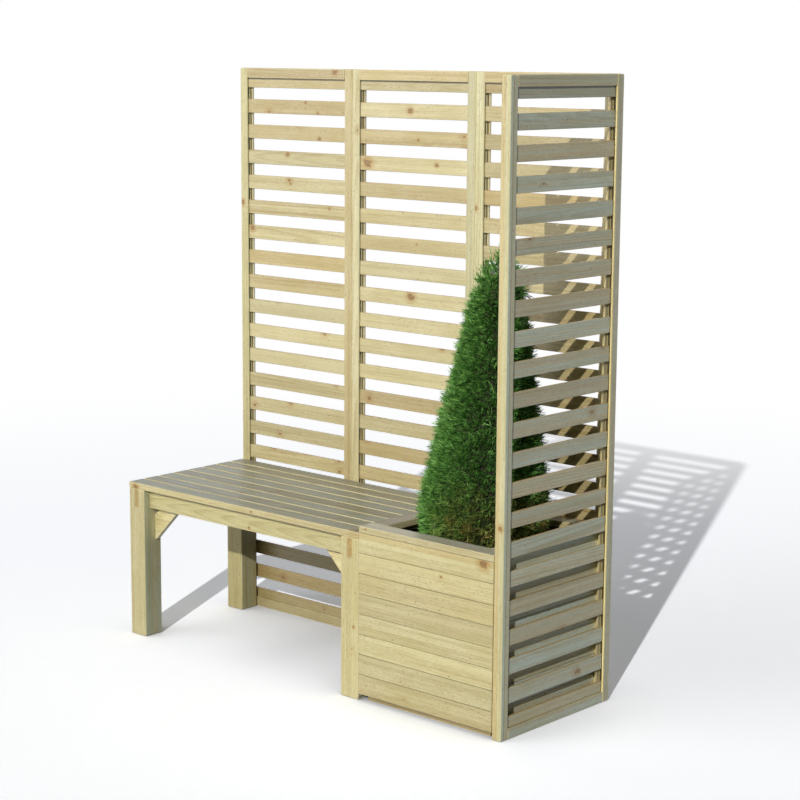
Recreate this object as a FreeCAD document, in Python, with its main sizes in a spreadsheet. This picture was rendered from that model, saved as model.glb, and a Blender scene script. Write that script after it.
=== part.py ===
import FreeCAD, Part
import os
import re
import Sketcher

# A corner bench with a planter, in millimetres. Three slatted back panels stand in a row, a fourth turns
# the corner at the right, a bench stands before the first two and a square planter fills the corner.
# Origin: the middle of the footprint, on the ground. +X runs along the bench to the planter, +Z is up,
# and the sitter faces -Y.

os.makedirs("parts", exist_ok=True)
V = FreeCAD.Vector
UP = V(0, 0, 1)
doc = FreeCAD.newDocument("bench_with_planter")

# Driving sizes
DRIVING = (
    ("panel_width", 500, "one slatted panel over its two stiles, and the module of the whole plan"),
    ("panel_height", 1800, "height of every slatted panel"),
    ("frame_width", 32, "face width of the stiles and rails of a panel"),
    ("frame_depth", 32, "depth of the stiles and rails of a panel"),
    ("frame_arris", 4, "rounding of the stiles and rails"),
    ("slat_height", 45, "face height of one slat"),
    ("slat_thickness", 8, "thickness of one slat"),
    ("slat_count", 22, "slats in one panel"),
    ("slat_recess", 6, "how far the slats lie behind the face of the stiles"),
    ("slat_tenon", 4, "how deep the slat ends stand in the grooves of the stiles"),
    ("slat_tuck", 14, "how deep the first and last slats stand in the rails"),
    ("slat_play", 0.4, "groove width over slat thickness"),
    ("slat_arris", 1.5, "rounding of the slats"),
    ("bead_width", 12, "face width of the bead behind the slat ends"),
    ("bead_thickness", 6, "thickness of that bead"),
    ("seat_height", 500, "top of the seat"),
    ("seat_gap", 5.14, "gap between seat boards"),
    ("seat_board_thickness", 20, "thickness of one seat board"),
    ("seat_board_count", 8, "boards in the seat"),
    ("board_arris", 2.5, "rounding of the seat and rim boards"),
    ("leg_size", 70, "side of the square legs"),
    ("leg_arris", 4, "rounding of the legs"),
    ("leg_wall_gap", 5, "air between the rear legs and the back panels"),
    ("rail_height", 60, "height of the bench's rails and aprons"),
    ("rail_thickness", 22, "thickness of the bench's rails and aprons"),
    ("rail_arris", 1.5, "rounding of the rails, aprons and bearers"),
    ("brace_width", 60, "width of the braces, square across"),
    ("brace_thickness", 16, "thickness of the braces"),
    ("brace_reach", 170, "how far a brace runs along the seat and down the leg"),
    ("planter_gap", 0.8, "air between the planter and what stands beside it"),
    ("planter_lift", 20, "air under the planter's walls, and the bearers' height"),
    ("wall_gap", 1.1, "gap between the planter's wall boards"),
    ("wall_board_thickness", 20, "thickness of the planter's wall boards"),
    ("wall_board_count", 8, "boards in one wall of the planter"),
    ("wall_arris", 1.2, "rounding of the wall boards"),
    ("rim_width", 58, "width of the planter's rim boards"),
    ("rim_thickness", 20, "thickness of the rim boards"),
    ("post_size", 45, "side of the planter's corner posts"),
    ("bearer_width", 45, "width of the bearers that the planter stands on"),
    ("floor_thickness", 16, "thickness of the planter's floor boards"),
    ("floor_board_count", 4, "floor boards between the corner posts"),
    ("floor_gap", 4, "drainage gap between floor boards"),
    ("liner_thickness", 2, "thickness of the liner"),
    ("liner_drop", 22, "liner's edge below the rim boards"),
    ("compost_drop", 65, "compost below the top of the rim"),
    ("soft_gap", 0.3, "air round the compost, the trunk and the foliage"),
    ("trunk_radius", 16, "trunk of the conifer at the compost"),
    ("trunk_top_radius", 4, "trunk at its upper end"),
    ("trunk_root", 180, "trunk below the compost's surface"),
    ("trunk_height", 640, "trunk above the compost's surface"),
    ("foliage_rise", 17, "lowest sprigs above the compost"),
    ("foliage_height", 850, "tip of the foliage above the compost"),
    ("foliage_skirt", 16, "how much narrower the foliage is at its lowest ring"),
    ("foliage_belly_height", 100, "height of the widest ring above the compost"),
    ("foliage_shoulder_height", 175, "where the straight cone begins, above the compost"),
    ("foliage_shoulder_inset", 7, "foliage at that height against its widest ring"),
    ("foliage_crown_radius", 62, "foliage where the straight cone ends, below its blunt tip"),
    ("foliage_crown_drop", 42, "that ring below the tip"),
    ("foliage_tip_radius", 26, "foliage at its tip"),
    ("plant_lean", 3.1, "lean of the conifer from the upright, in degrees"),
    ("plant_heading", 41.8, "where it leans to, from the bench's length towards the wall, in degrees"),
    ("foliage_clearance", 4, "air between the foliage's widest ring and the rim boards"),
    ("screw_radius", 2.5, "shank of the screws"),
    ("screw_head_radius", 4.5, "head of the screws"),
    ("screw_head_height", 3, "height of the heads"),
    ("screw_play", 0.2, "radial air of a screw in its hole"),
    ("screw_sink", 4, "depth that the heads are sunk to"),
    ("screw_point", 6, "length of the screws' points"),
    ("panel_screw_length", 56, "screws from panel to panel, with their heads"),
    ("planter_screw_length", 84, "screws from the planter's posts into the panels, with their heads"),
    ("screw_end_distance", 300, "highest and lowest panel screws from the panel's ends"),
    ("low_screw_slats", 2, "slats below the lower screws from the planter into the back panel"),
    ("high_screw_slats", 5, "slats below the upper screws from the planter into the back panel"),
    ("side_screw_slats", 1, "slats that the side panel's screws sit lower than the back panel's"),
)

sizes = doc.addObject("Spreadsheet::Sheet", "sizes")
for row, (alias, value, meaning) in enumerate(DRIVING, start=1):
    sizes.set(f"A{row}", meaning)
    sizes.set(f"B{row}", str(value))
    sizes.setAlias(f"B{row}", alias)
doc.recompute()

ALIASES = re.compile(r"\b(" + "|".join(alias for alias, value, meaning in DRIVING) + r")\b")


def formula(text):
    """The text with every driving size read from the sheet."""
    return ALIASES.sub(r"sizes.\1", str(text))


def number(text):
    """What a formula over the driving sizes comes to now."""
    return float(sizes.evalExpression(formula(text)))


def bind(thing, name, text):
    """Ties one property to a formula over the driving sizes."""
    thing.setExpression(name, formula(text))


# Places that several pieces share, as formulas over the driving sizes
LEFT = "(-(3 * panel_width + frame_depth) / 2)"
RIGHT = "((3 * panel_width + frame_depth) / 2)"
FRONT = "(-(panel_width + frame_depth) / 2)"
WALL = "((panel_width - frame_depth) / 2)"
BENCH_END = f"({LEFT} + 2 * panel_width)"
UNDERSIDE = "(seat_height - seat_board_thickness)"
RAIL_FOOT = f"({UNDERSIDE} - rail_height)"
REAR_LEG = f"({WALL} - leg_wall_gap - leg_size)"
LEG_HALF_SPARE = "((leg_size - rail_thickness) / 2)"
APRON_FRONT = f"({FRONT} + {LEG_HALF_SPARE})"
APRON_REAR = f"({REAR_LEG} + {LEG_HALF_SPARE})"
SLAT_FACE = "(slat_recess + slat_play / 2)"
GROOVE_WIDTH = "(slat_thickness + slat_play)"
SLAT_PITCH = "((panel_height - 2 * frame_width + 2 * slat_tuck - slat_height) / (slat_count - 1))"
BOX_LEFT = f"({BENCH_END} + planter_gap)"
BOX_WIDTH = "(panel_width - 2 * planter_gap)"
BOX_DEPTH = "panel_width"
WALL_TOP = "seat_height"
WALL_BOARD = f"(({WALL_TOP} - planter_lift - (wall_board_count - 1) * wall_gap) / wall_board_count)"
WALL_PITCH = f"({WALL_BOARD} + wall_gap)"
INSIDE_LEFT = f"({BOX_LEFT} + wall_board_thickness)"
INSIDE_FRONT = f"({FRONT} + wall_board_thickness)"
INSIDE_WIDTH = f"({BOX_WIDTH} - 2 * wall_board_thickness)"
INSIDE_DEPTH = f"({BOX_DEPTH} - 2 * wall_board_thickness)"
FLOOR_TOP = "(planter_lift + floor_thickness)"
COMPOST_TOP = f"({WALL_TOP} + rim_thickness - compost_drop)"
PLANT_X = f"({BOX_LEFT} + {BOX_WIDTH} / 2)"
PLANT_Y = f"({FRONT} + {BOX_DEPTH} / 2)"
HOLE_RADIUS = "(screw_radius + screw_play)"
SINK_RADIUS = "(screw_head_radius + screw_play)"

pieces = []
cuts = []


def new_body(label, x, y, z, turn=0, kept=True):
    """An empty body whose own corner stands at x, y, z, turned about the upright."""
    body = doc.addObject("PartDesign::Body", label)
    body.Label = label
    body.Placement = FreeCAD.Placement(V(number(x), number(y), number(z)), FreeCAD.Rotation(UP, turn))
    for axis, text in zip("xyz", (x, y, z)):
        bind(body, f"Placement.Base.{axis}", text)
    if kept:
        pieces.append(body)
    return body


def datum(body, role):
    """One of the body's own origin planes or axes."""
    return next(part for part in body.Origin.OriginFeatures if part.Role == role)


def polygon(body, name, plane, points):
    """A closed sketch through points given as formulas, none of them below zero."""
    sketch = body.newObject("Sketcher::SketchObject", name)
    sketch.AttachmentSupport = (datum(body, plane), [""])
    sketch.MapMode = "FlatFace"
    corners = [V(number(x), number(y), 0) for x, y in points]
    count = len(corners)
    for i in range(count):
        sketch.addGeometry(Part.LineSegment(corners[i], corners[(i + 1) % count]), False)
    for i in range(count):
        sketch.addConstraint(Sketcher.Constraint("Coincident", i, 2, (i + 1) % count, 1))
    origin, start, across, upright = -1, 1, -1, -2
    for i, (x, y) in enumerate(points):
        for kind, axis, text, value in (("DistanceX", upright, x, corners[i].x),
                                        ("DistanceY", across, y, corners[i].y)):
            if str(text) == "0":
                sketch.addConstraint(Sketcher.Constraint("PointOnObject", i, start, axis))
            else:
                at = sketch.addConstraint(Sketcher.Constraint(kind, origin, start, i, start, value))
                bind(sketch, f"Constraints[{at}]", text)
    return sketch


def pad(body, sketch, length, backwards=False):
    """Carries a sketch along its normal."""
    feature = body.newObject("PartDesign::Pad", f"{body.Name}_pad")
    feature.Profile = sketch
    feature.Reversed = backwards
    bind(feature, "Length", length)
    body.Tip = feature
    return feature


def turn_solid(body, sketch):
    """Spins a half section about the upright axis."""
    feature = body.newObject("PartDesign::Revolution", f"{body.Name}_turned")
    feature.Profile = sketch
    feature.ReferenceAxis = (sketch, ["V_Axis"])
    feature.Angle = 360
    body.Tip = feature


def soften(body, feature, radius):
    """Rounds every edge that a sawn and planed timber has so far."""
    doc.recompute()
    edges = [f"Edge{i + 1}" for i in range(len(feature.Shape.Edges))]
    rounded = body.newObject("PartDesign::Fillet", f"{body.Name}_arris")
    rounded.Base = (feature, edges)
    bind(rounded, "Radius", radius)
    body.Tip = rounded


def repeat(body, axis, count, spacing):
    """Sets the whole piece again and again along one axis, each copy a solid of its own."""
    row = body.newObject("PartDesign::LinearPattern", f"{body.Name}_row")
    row.TransformMode = "Whole shape"
    row.Direction = (datum(body, f"{axis}_Axis"), [""])
    row.Mode = "Spacing"
    bind(row, "Occurrences", count)
    bind(row, "Offset", spacing)
    body.Tip = row


def timber(label, along, place, section, length, arris, turn=0):
    """A board sawn to section (two sizes across, in X, Y, Z order) and length, its edges rounded."""
    body = new_body(label, *place, turn=turn)
    plane, backwards = {"X": ("YZ_Plane", False), "Y": ("XZ_Plane", True), "Z": ("XY_Plane", False)}[along]
    wide, high = section
    sketch = polygon(body, f"{label}_section", plane, (("0", "0"), (wide, "0"), (wide, high), ("0", high)))
    soften(body, pad(body, sketch, length, backwards), arris)
    return body


def cut_box(body, corner, extent):
    """Takes a box out of a body; corner and extent are formulas in the body's own axes."""
    tool = body.newObject("PartDesign::SubtractiveBox", f"{body.Name}_cut")
    for name, text in zip(("Length", "Width", "Height"), extent):
        bind(tool, name, text)
    for axis, text in zip("xyz", corner):
        bind(tool, f"Placement.Base.{axis}", text)
    body.Tip = tool
    cuts.append(tool)


def drill(body, centre, direction, radius, depth):
    """Bores a round hole from centre along direction, both in the body's own axes."""
    tool = body.newObject("PartDesign::SubtractiveCylinder", f"{body.Name}_bore")
    tool.Placement = FreeCAD.Placement(V(), FreeCAD.Rotation(UP, direction))
    bind(tool, "Radius", radius)
    bind(tool, "Height", depth)
    for axis, text in zip("xyz", centre):
        bind(tool, f"Placement.Base.{axis}", text)
    body.Tip = tool
    cuts.append(tool)


def screw_body(label, place, direction, length):
    """A pan head screw whose head's top is at place and whose shank runs along direction."""
    body = new_body(label, *place, kept=False)
    body.Placement = FreeCAD.Placement(body.Placement.Base, FreeCAD.Rotation(UP, direction))
    shank_end = f"{length} - screw_point"
    half = polygon(body, f"{label}_half", "XZ_Plane", (
        ("0", "0"), ("screw_head_radius", "0"), ("screw_head_radius", "screw_head_height"),
        ("screw_radius", "screw_head_height"), ("screw_radius", shank_end), ("0", length)))
    turn_solid(body, half)
    return body


def group(label, members):
    """Several like solids that share one node."""
    joined = doc.addObject("Part::Compound", label)
    joined.Label = label
    joined.Links = members
    pieces.append(joined)


# The slatted panels. In a panel's own axes X runs along its width, Y from its face to its back
PANEL_SCREW_HEIGHTS = ("screw_end_distance", "panel_height / 2", "panel_height - screw_end_distance")
BEHIND_BEAD = f"({SLAT_FACE} + slat_thickness + slat_play / 2 + bead_thickness)"
SCREW_LINE = f"(({BEHIND_BEAD} + frame_depth) / 2)"


def panel_place(panel, x, y, z):
    """A place in a panel's own axes, as a place of the whole object."""
    if panel == "side_panel":
        return (f"{RIGHT} - ({y})", f"{FRONT} + ({x})", z)
    step = int(panel[-1]) - 1
    return (f"{LEFT} + {step} * panel_width + ({x})", f"{WALL} + ({y})", z)


def slatted_panel(panel):
    """Two grooved stiles, two grooved rails, the slats between them and a bead behind each slat end."""
    turn = 90 if panel == "side_panel" else 0
    opening = "(panel_width - 2 * frame_width)"
    groove = f"{SLAT_FACE} - slat_play / 2"
    stiles = {}
    for side, x, groove_x in (("left", "0", "frame_width - slat_tenon"),
                              ("right", "panel_width - frame_width", "0")):
        stile = timber(f"{panel}_stile_{side}", "Z", panel_place(panel, x, "0", "0"),
                          ("frame_width", "frame_depth"), "panel_height", "frame_arris", turn)
        cut_box(stile, (groove_x, groove, "0"), ("slat_tenon", GROOVE_WIDTH, "panel_height"))
        stiles[side] = stile
    for name, z, groove_z in (("top_rail", "panel_height - frame_width", "0"),
                              ("bottom_rail", "0", "frame_width - slat_tuck")):
        rail = timber(f"{panel}_{name}", "X", panel_place(panel, "frame_width", "0", z),
                         ("frame_depth", "frame_width"), opening, "rail_arris", turn)
        cut_box(rail, ("0", groove, groove_z), (opening, GROOVE_WIDTH, "slat_tuck"))
    slats = timber(f"{panel}_slats", "X",
                   panel_place(panel, "frame_width - slat_tenon", SLAT_FACE, "frame_width - slat_tuck"),
                   ("slat_thickness", "slat_height"), f"{opening} + 2 * slat_tenon", "slat_arris", turn)
    repeat(slats, "Z", "slat_count", SLAT_PITCH)
    behind = f"{SLAT_FACE} + slat_thickness + slat_play / 2"
    beads = timber(f"{panel}_beads", "Z", panel_place(panel, "frame_width", behind, "frame_width"),
                   ("bead_width", "bead_thickness"), "panel_height - 2 * frame_width", "slat_arris", turn)
    repeat(beads, "X", 2, f"{opening} - bead_width")
    return stiles


PANELS = ("back_panel_1", "back_panel_2", "back_panel_3", "side_panel")
panels = {panel: slatted_panel(panel) for panel in PANELS}

# Screws from panel to panel, sunk in the inner side of the left one's stile
panel_screws = []
for first, second in (("back_panel_1", "back_panel_2"), ("back_panel_2", "back_panel_3")):
    for height in PANEL_SCREW_HEIGHTS:
        drill(panels[first]["right"], ("0", SCREW_LINE, height), V(1, 0, 0), HOLE_RADIUS, "frame_width")
        drill(panels[first]["right"], ("0", SCREW_LINE, height), V(1, 0, 0), SINK_RADIUS, "screw_sink")
        reach = "panel_screw_length + screw_sink - screw_head_height - frame_width + screw_play"
        drill(panels[second]["left"], ("0", SCREW_LINE, height), V(1, 0, 0), HOLE_RADIUS, reach)
        head = panel_place(first, "panel_width - frame_width + screw_sink - screw_head_height",
                           SCREW_LINE, height)
        name = f"panel_screw_{len(panel_screws) + 1}"
        panel_screws.append(screw_body(name, head, V(1, 0, 0), "panel_screw_length"))
group("panel_screws", panel_screws)

# The bench: four legs notched at the top for the side rails, which run through them
for side, x in (("left", LEFT), ("right", f"{BENCH_END} - leg_size")):
    for row, y in (("front", FRONT), ("rear", REAR_LEG)):
        leg = timber(f"leg_{row}_{side}", "Z", (x, y, "0"), ("leg_size", "leg_size"),
                     UNDERSIDE, "leg_arris")
        cut_box(leg, (LEG_HALF_SPARE, "0", RAIL_FOOT), ("rail_thickness", "leg_size", "rail_height"))
    timber(f"side_rail_{side}", "Y", (f"{x} + {LEG_HALF_SPARE}", FRONT, RAIL_FOOT),
           ("rail_thickness", "rail_height"), f"{REAR_LEG} + leg_size - {FRONT}", "rail_arris")

for name, y in (("front_apron", APRON_FRONT), ("rear_apron", APRON_REAR)):
    timber(name, "X", (f"{LEFT} + leg_size", y, RAIL_FOOT), ("rail_thickness", "rail_height"),
           "2 * panel_width - 2 * leg_size", "rail_arris")

timber("middle_bearer", "Y",
       (f"{LEFT} + panel_width - rail_thickness / 2", f"{APRON_FRONT} + rail_thickness", RAIL_FOOT),
       ("rail_thickness", "rail_height"), f"{APRON_REAR} - {APRON_FRONT} - rail_thickness", "rail_arris")


def brace(label, x, y, turn):
    """A brace at 45 degrees: its upper end is cut to lie under the seat, its lower end against the leg."""
    body = new_body(label, x, y, f"{UNDERSIDE} - brace_reach", turn=turn, kept=False)
    end = "brace_width * sqrt(2)"
    outline = polygon(body, f"{label}_outline", "XZ_Plane", (
        ("0", "0"), ("brace_reach", "brace_reach"), (f"brace_reach - {end}", "brace_reach"), ("0", end)))
    soften(body, pad(body, outline, "brace_thickness", True), "rail_arris")
    return body


for name, y in (("front", f"{APRON_FRONT} + rail_thickness"), ("rear", f"{APRON_REAR} - brace_thickness")):
    group(f"{name}_braces", [
        brace(f"{name}_brace_left", f"{LEFT} + leg_size", y, 0),
        brace(f"{name}_brace_right", f"{BENCH_END} - leg_size", f"{y} + brace_thickness", 180),
    ])

SEAT_BOARD = "((panel_width - (seat_board_count - 1) * seat_gap) / seat_board_count)"
SEAT_PITCH = f"({SEAT_BOARD} + seat_gap)"
for index in range(int(number("seat_board_count"))):
    timber(f"seat_board_{index + 1}", "X", (LEFT, f"{FRONT} + {index} * {SEAT_PITCH}", UNDERSIDE),
           (SEAT_BOARD, "seat_board_thickness"), "2 * panel_width", "board_arris")

# The planter's walls: front and back boards run full width, the side boards stand between them
walls = {}
for name, y in (("front", FRONT), ("back", f"{FRONT} + {BOX_DEPTH} - wall_board_thickness")):
    walls[name] = timber(f"planter_{name}_boards", "X", (BOX_LEFT, y, "planter_lift"),
                                ("wall_board_thickness", WALL_BOARD), BOX_WIDTH, "wall_arris")
    repeat(walls[name], "Z", "wall_board_count", WALL_PITCH)
for name, x in (("left", BOX_LEFT), ("right", f"{BOX_LEFT} + {BOX_WIDTH} - wall_board_thickness")):
    walls[name] = timber(f"planter_{name}_boards", "Y", (x, INSIDE_FRONT, "planter_lift"),
                                ("wall_board_thickness", WALL_BOARD), INSIDE_DEPTH, "wall_arris")
    repeat(walls[name], "Z", "wall_board_count", WALL_PITCH)

# Corner posts inside the walls, one square post set four times
posts = timber("planter_corner_posts", "Z", (INSIDE_LEFT, INSIDE_FRONT, "planter_lift"),
                     ("post_size", "post_size"), f"{WALL_TOP} - planter_lift", "rail_arris")
repeat(posts, "X", 2, f"{INSIDE_WIDTH} - post_size")
repeat(posts, "Y", 2, f"{INSIDE_DEPTH} - post_size")

# Bearers on the ground and the floor boards on them
bearers = timber("planter_bearers", "X", (INSIDE_LEFT, INSIDE_FRONT, "0"),
                 ("bearer_width", "planter_lift"), INSIDE_WIDTH, "rail_arris")
repeat(bearers, "Y", 3, f"({INSIDE_DEPTH} - bearer_width) / 2")

FLOOR_SPAN = f"({INSIDE_WIDTH} - 2 * post_size)"
FLOOR_BOARD = f"(({FLOOR_SPAN} - (floor_board_count - 1) * floor_gap) / floor_board_count)"
floor = timber("planter_floor_boards", "Y",
               (f"{INSIDE_LEFT} + post_size", INSIDE_FRONT, "planter_lift"),
               (FLOOR_BOARD, "floor_thickness"), INSIDE_DEPTH, "rail_arris")
repeat(floor, "X", "floor_board_count", f"{FLOOR_BOARD} + floor_gap")

# Rim boards on the walls: front and back run full width, the side ones stand between them
for name, y in (("front", FRONT), ("back", f"{FRONT} + {BOX_DEPTH} - rim_width")):
    timber(f"planter_rim_{name}", "X", (BOX_LEFT, y, WALL_TOP), ("rim_width", "rim_thickness"),
           BOX_WIDTH, "board_arris")
for name, x in (("left", BOX_LEFT), ("right", f"{BOX_LEFT} + {BOX_WIDTH} - rim_width")):
    timber(f"planter_rim_{name}", "Y", (x, f"{FRONT} + rim_width", WALL_TOP), ("rim_width", "rim_thickness"),
           f"{BOX_DEPTH} - 2 * rim_width", "board_arris")


def notched_square(inset):
    """The planter's inside with a notch round each corner post, drawn in by inset; its corners in turn."""
    near, post_edge = inset, f"post_size + {inset}"
    far_x, far_y = f"{INSIDE_WIDTH} - {inset}", f"{INSIDE_DEPTH} - {inset}"
    post_x, post_y = f"{INSIDE_WIDTH} - post_size - {inset}", f"{INSIDE_DEPTH} - post_size - {inset}"
    return ((post_edge, near), (post_x, near), (post_x, post_edge), (far_x, post_edge), (far_x, post_y),
            (post_x, post_y), (post_x, far_y), (post_edge, far_y), (post_edge, post_y), (near, post_y),
            (near, post_edge), (post_edge, post_edge))


# Liner: a thin tub folded round the posts, open at the top
liner = new_body("planter_liner", INSIDE_LEFT, INSIDE_FRONT, FLOOR_TOP)
pad(liner, polygon(liner, "liner_outside", "XY_Plane", notched_square("0")),
              f"{WALL_TOP} - liner_drop - {FLOOR_TOP}")
inside = polygon(liner, "liner_inside", "XY_Plane", notched_square("liner_thickness"))
bind(inside, "AttachmentOffset.Base.z", "liner_thickness")
hollow = liner.newObject("PartDesign::Pocket", "liner_hollow")
hollow.Profile = inside
hollow.Reversed = True
bind(hollow, "Length", f"{WALL_TOP} - liner_drop - {FLOOR_TOP}")
liner.Tip = hollow
cuts.append(hollow)

# Compost in the liner, with the hole that the roots and trunk fill
compost = new_body("compost", INSIDE_LEFT, INSIDE_FRONT, f"{FLOOR_TOP} + liner_thickness")
pad(compost, polygon(compost, "compost_outline", "XY_Plane", notched_square("(liner_thickness + soft_gap)")),
    f"{COMPOST_TOP} - {FLOOR_TOP} - liner_thickness")
HEADING = FreeCAD.Rotation(UP, number("plant_heading"))
PLANT_TURN = HEADING * FreeCAD.Rotation(V(0, 1, 0), number("plant_lean"))
STEM = PLANT_TURN.multVec(UP)
drill(compost, (f"{INSIDE_WIDTH} / 2 - {STEM.x:.6f} * trunk_root",
                f"{INSIDE_DEPTH} / 2 - {STEM.y:.6f} * trunk_root",
                f"{COMPOST_TOP} - {FLOOR_TOP} - liner_thickness - {STEM.z:.6f} * trunk_root"),
      STEM, "trunk_radius + soft_gap", "trunk_root + liner_thickness")

# The conifer leans a little: a tapering trunk and the clipped cone of foliage round it
trunk = new_body("conifer_trunk", f"{PLANT_X} - {STEM.x:.6f} * trunk_root",
                 f"{PLANT_Y} - {STEM.y:.6f} * trunk_root", f"{COMPOST_TOP} - {STEM.z:.6f} * trunk_root")
trunk.Placement.Rotation = PLANT_TURN
turn_solid(trunk, polygon(trunk, "trunk_half", "XZ_Plane", (
    ("0", "0"), ("trunk_radius", "0"), ("trunk_radius", "trunk_root"),
    ("trunk_top_radius", "trunk_root + trunk_height"), ("0", "trunk_root + trunk_height"))))

BELLY = f"({BOX_WIDTH} / 2 - rim_width - foliage_clearance)"
BORE_FOOT = "(trunk_radius + soft_gap)"
BORE_TOP = "(trunk_top_radius + soft_gap)"
TRUNK_END = "(trunk_height + soft_gap)"
foliage = new_body("conifer_foliage", PLANT_X, PLANT_Y, COMPOST_TOP)
foliage.Placement.Rotation = PLANT_TURN
turn_solid(foliage, polygon(foliage, "foliage_half", "XZ_Plane", (
    (BORE_FOOT, "foliage_rise"),
    (f"{BELLY} - foliage_skirt", "foliage_rise"),
    (BELLY, "foliage_belly_height"),
    (f"{BELLY} - foliage_shoulder_inset", "foliage_shoulder_height"),
    ("foliage_crown_radius", "foliage_height - foliage_crown_drop"),
    ("foliage_tip_radius", "foliage_height"),
    ("0", "foliage_height"),
    ("0", TRUNK_END),
    (BORE_TOP, TRUNK_END))))

# Screws from inside the planter, through post and wall, into the stiles of the corner panels. They sit
# between two slats, near the stiles' inner edge, which is as far out as the posts reach
planter_screws = []
POST_FACE = f"({INSIDE_DEPTH} - post_size)"
ACROSS_WALLS = "(post_size + wall_board_thickness)"
TIP_FROM_POST = "(planter_screw_length + screw_sink - screw_head_height)"
INTO_BACK = f"{TIP_FROM_POST} - {ACROSS_WALLS} + screw_play"
INTO_SIDE = f"{INTO_BACK} - planter_gap"


def screw_height(slats):
    """Half way between two slats, counted from the ground."""
    return f"(frame_width - slat_tuck + slat_height / 2 + ({slats} - 0.5) * {SLAT_PITCH})"


def planter_screw(place, direction):
    """One screw of the group, its head sunk in a post."""
    name = f"planter_screw_{len(planter_screws) + 1}"
    planter_screws.append(screw_body(name, place, direction, "planter_screw_length"))


def bore_post(centre, direction):
    """Hole and sink for one screw in the corner posts."""
    drill(posts, centre, direction, HOLE_RADIUS, "post_size")
    drill(posts, centre, direction, SINK_RADIUS, "screw_sink")


def both_ends(inset):
    """Places of a stile's screw in the row and in the stile: near end's, then far end's."""
    return (("left", inset, inset), ("right", f"(panel_width - {inset})", f"(frame_width - {inset})"))


BACK_INSET = "((planter_gap + wall_board_thickness + frame_width) / 2)"
SIDE_INSET = "((wall_board_thickness + frame_width) / 2)"
for level in ("low_screw_slats", "high_screw_slats"):
    height = screw_height(level)
    in_wall_up = f"{height} - planter_lift"
    for side, along, in_stile in both_ends(BACK_INSET):
        in_wall = f"{along} - planter_gap"
        bore_post((f"{in_wall} - wall_board_thickness", POST_FACE, in_wall_up), V(0, 1, 0))
        drill(walls["back"], (in_wall, "0", in_wall_up), V(0, 1, 0), HOLE_RADIUS, "wall_board_thickness")
        drill(panels["back_panel_3"][side], (in_stile, "0", height), V(0, 1, 0), HOLE_RADIUS, INTO_BACK)
        head = f"{INSIDE_FRONT} + {POST_FACE} + screw_sink - screw_head_height"
        planter_screw((f"{BENCH_END} + {along}", head, height), V(0, 1, 0))
    height = screw_height(f"({level} - side_screw_slats)")
    in_wall_up = f"{height} - planter_lift"
    for side, along, in_stile in both_ends(SIDE_INSET):
        in_wall = f"{along} - wall_board_thickness"
        bore_post((f"{INSIDE_WIDTH} - post_size", in_wall, in_wall_up), V(1, 0, 0))
        drill(walls["right"], ("0", in_wall, in_wall_up), V(1, 0, 0), HOLE_RADIUS, "wall_board_thickness")
        drill(panels["side_panel"][side], (in_stile, "frame_depth", height), V(0, -1, 0), HOLE_RADIUS,
              INTO_SIDE)
        head = f"{INSIDE_LEFT} + {INSIDE_WIDTH} - post_size + screw_sink - screw_head_height"
        planter_screw((head, f"{FRONT} + {along}", height), V(1, 0, 0))
group("planter_screws", planter_screws)

# Every feature and every piece is tested before anything is written
doc.recompute()
for thing in doc.Objects:
    if "Invalid" in thing.State or "Error" in thing.State:
        raise RuntimeError(f"{thing.Label} failed: {thing.State}")
for tool in cuts:
    before = tool.BaseFeature.Shape.Volume
    if not tool.Shape.Volume < before:
        raise RuntimeError(f"{tool.Label} cuts nothing")
for piece in pieces:
    shape = piece.Shape
    if shape.isNull() or not shape.isValid() or not shape.Solids:
        raise RuntimeError(f"{piece.Label} is not a sound solid")
for piece in pieces:
    piece.Shape.exportStep(f"parts/{piece.Label}.step")
    box = piece.Shape.BoundBox
    extent = f"{box.XLength:.1f} x {box.YLength:.1f} x {box.ZLength:.1f}"
    print(f"{piece.Label}: {len(piece.Shape.Solids)} solids, {extent}")
print(len(pieces), "nodes")
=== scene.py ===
# %% [markdown]
# # A corner bench with a planter
# The construction comes in as a fixed frame: boards, legs, panels and the planter, each at its real size.
# This notebook gives every board a softwood finish, grows the conifer, fills the planter with compost, and
# sets the light and the camera.

# %% Load the construction
import math

import bpy
import numpy as np
from mathutils import Matrix, Vector


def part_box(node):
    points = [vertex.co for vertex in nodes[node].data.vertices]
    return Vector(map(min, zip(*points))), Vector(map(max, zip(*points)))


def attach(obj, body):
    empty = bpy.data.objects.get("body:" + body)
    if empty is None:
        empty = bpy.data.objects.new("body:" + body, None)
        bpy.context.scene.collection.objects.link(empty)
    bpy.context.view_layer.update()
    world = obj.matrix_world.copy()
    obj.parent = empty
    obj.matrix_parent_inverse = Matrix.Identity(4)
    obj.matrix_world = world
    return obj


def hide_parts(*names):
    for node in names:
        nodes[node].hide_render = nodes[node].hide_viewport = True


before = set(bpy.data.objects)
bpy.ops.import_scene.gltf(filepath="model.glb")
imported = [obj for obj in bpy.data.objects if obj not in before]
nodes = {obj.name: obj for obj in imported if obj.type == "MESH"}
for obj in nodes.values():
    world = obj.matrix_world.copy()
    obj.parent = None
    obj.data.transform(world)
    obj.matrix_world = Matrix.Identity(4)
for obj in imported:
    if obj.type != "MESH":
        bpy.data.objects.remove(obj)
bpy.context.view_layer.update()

# %% [markdown]
# Lengths that the later cells share are read from the frame, so that a piece made here always fits the
# piece that carries it. `low` and `high` are the two corners of a node.

# %% Shared measures
MM = 0.001


def low(name):
    """The corner of a node's box where X, Y and Z are least."""
    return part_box(name)[0]


def high(name):
    """The corner of a node's box where X, Y and Z are greatest."""
    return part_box(name)[1]


def new_random(seed):
    """A random stream of its own for each piece, so that changing one piece leaves the others alone."""
    return np.random.default_rng(seed)


print("compost at", round(high("compost").z, 3), "rim at", round(high("planter_rim_front").z, 3))

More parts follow.
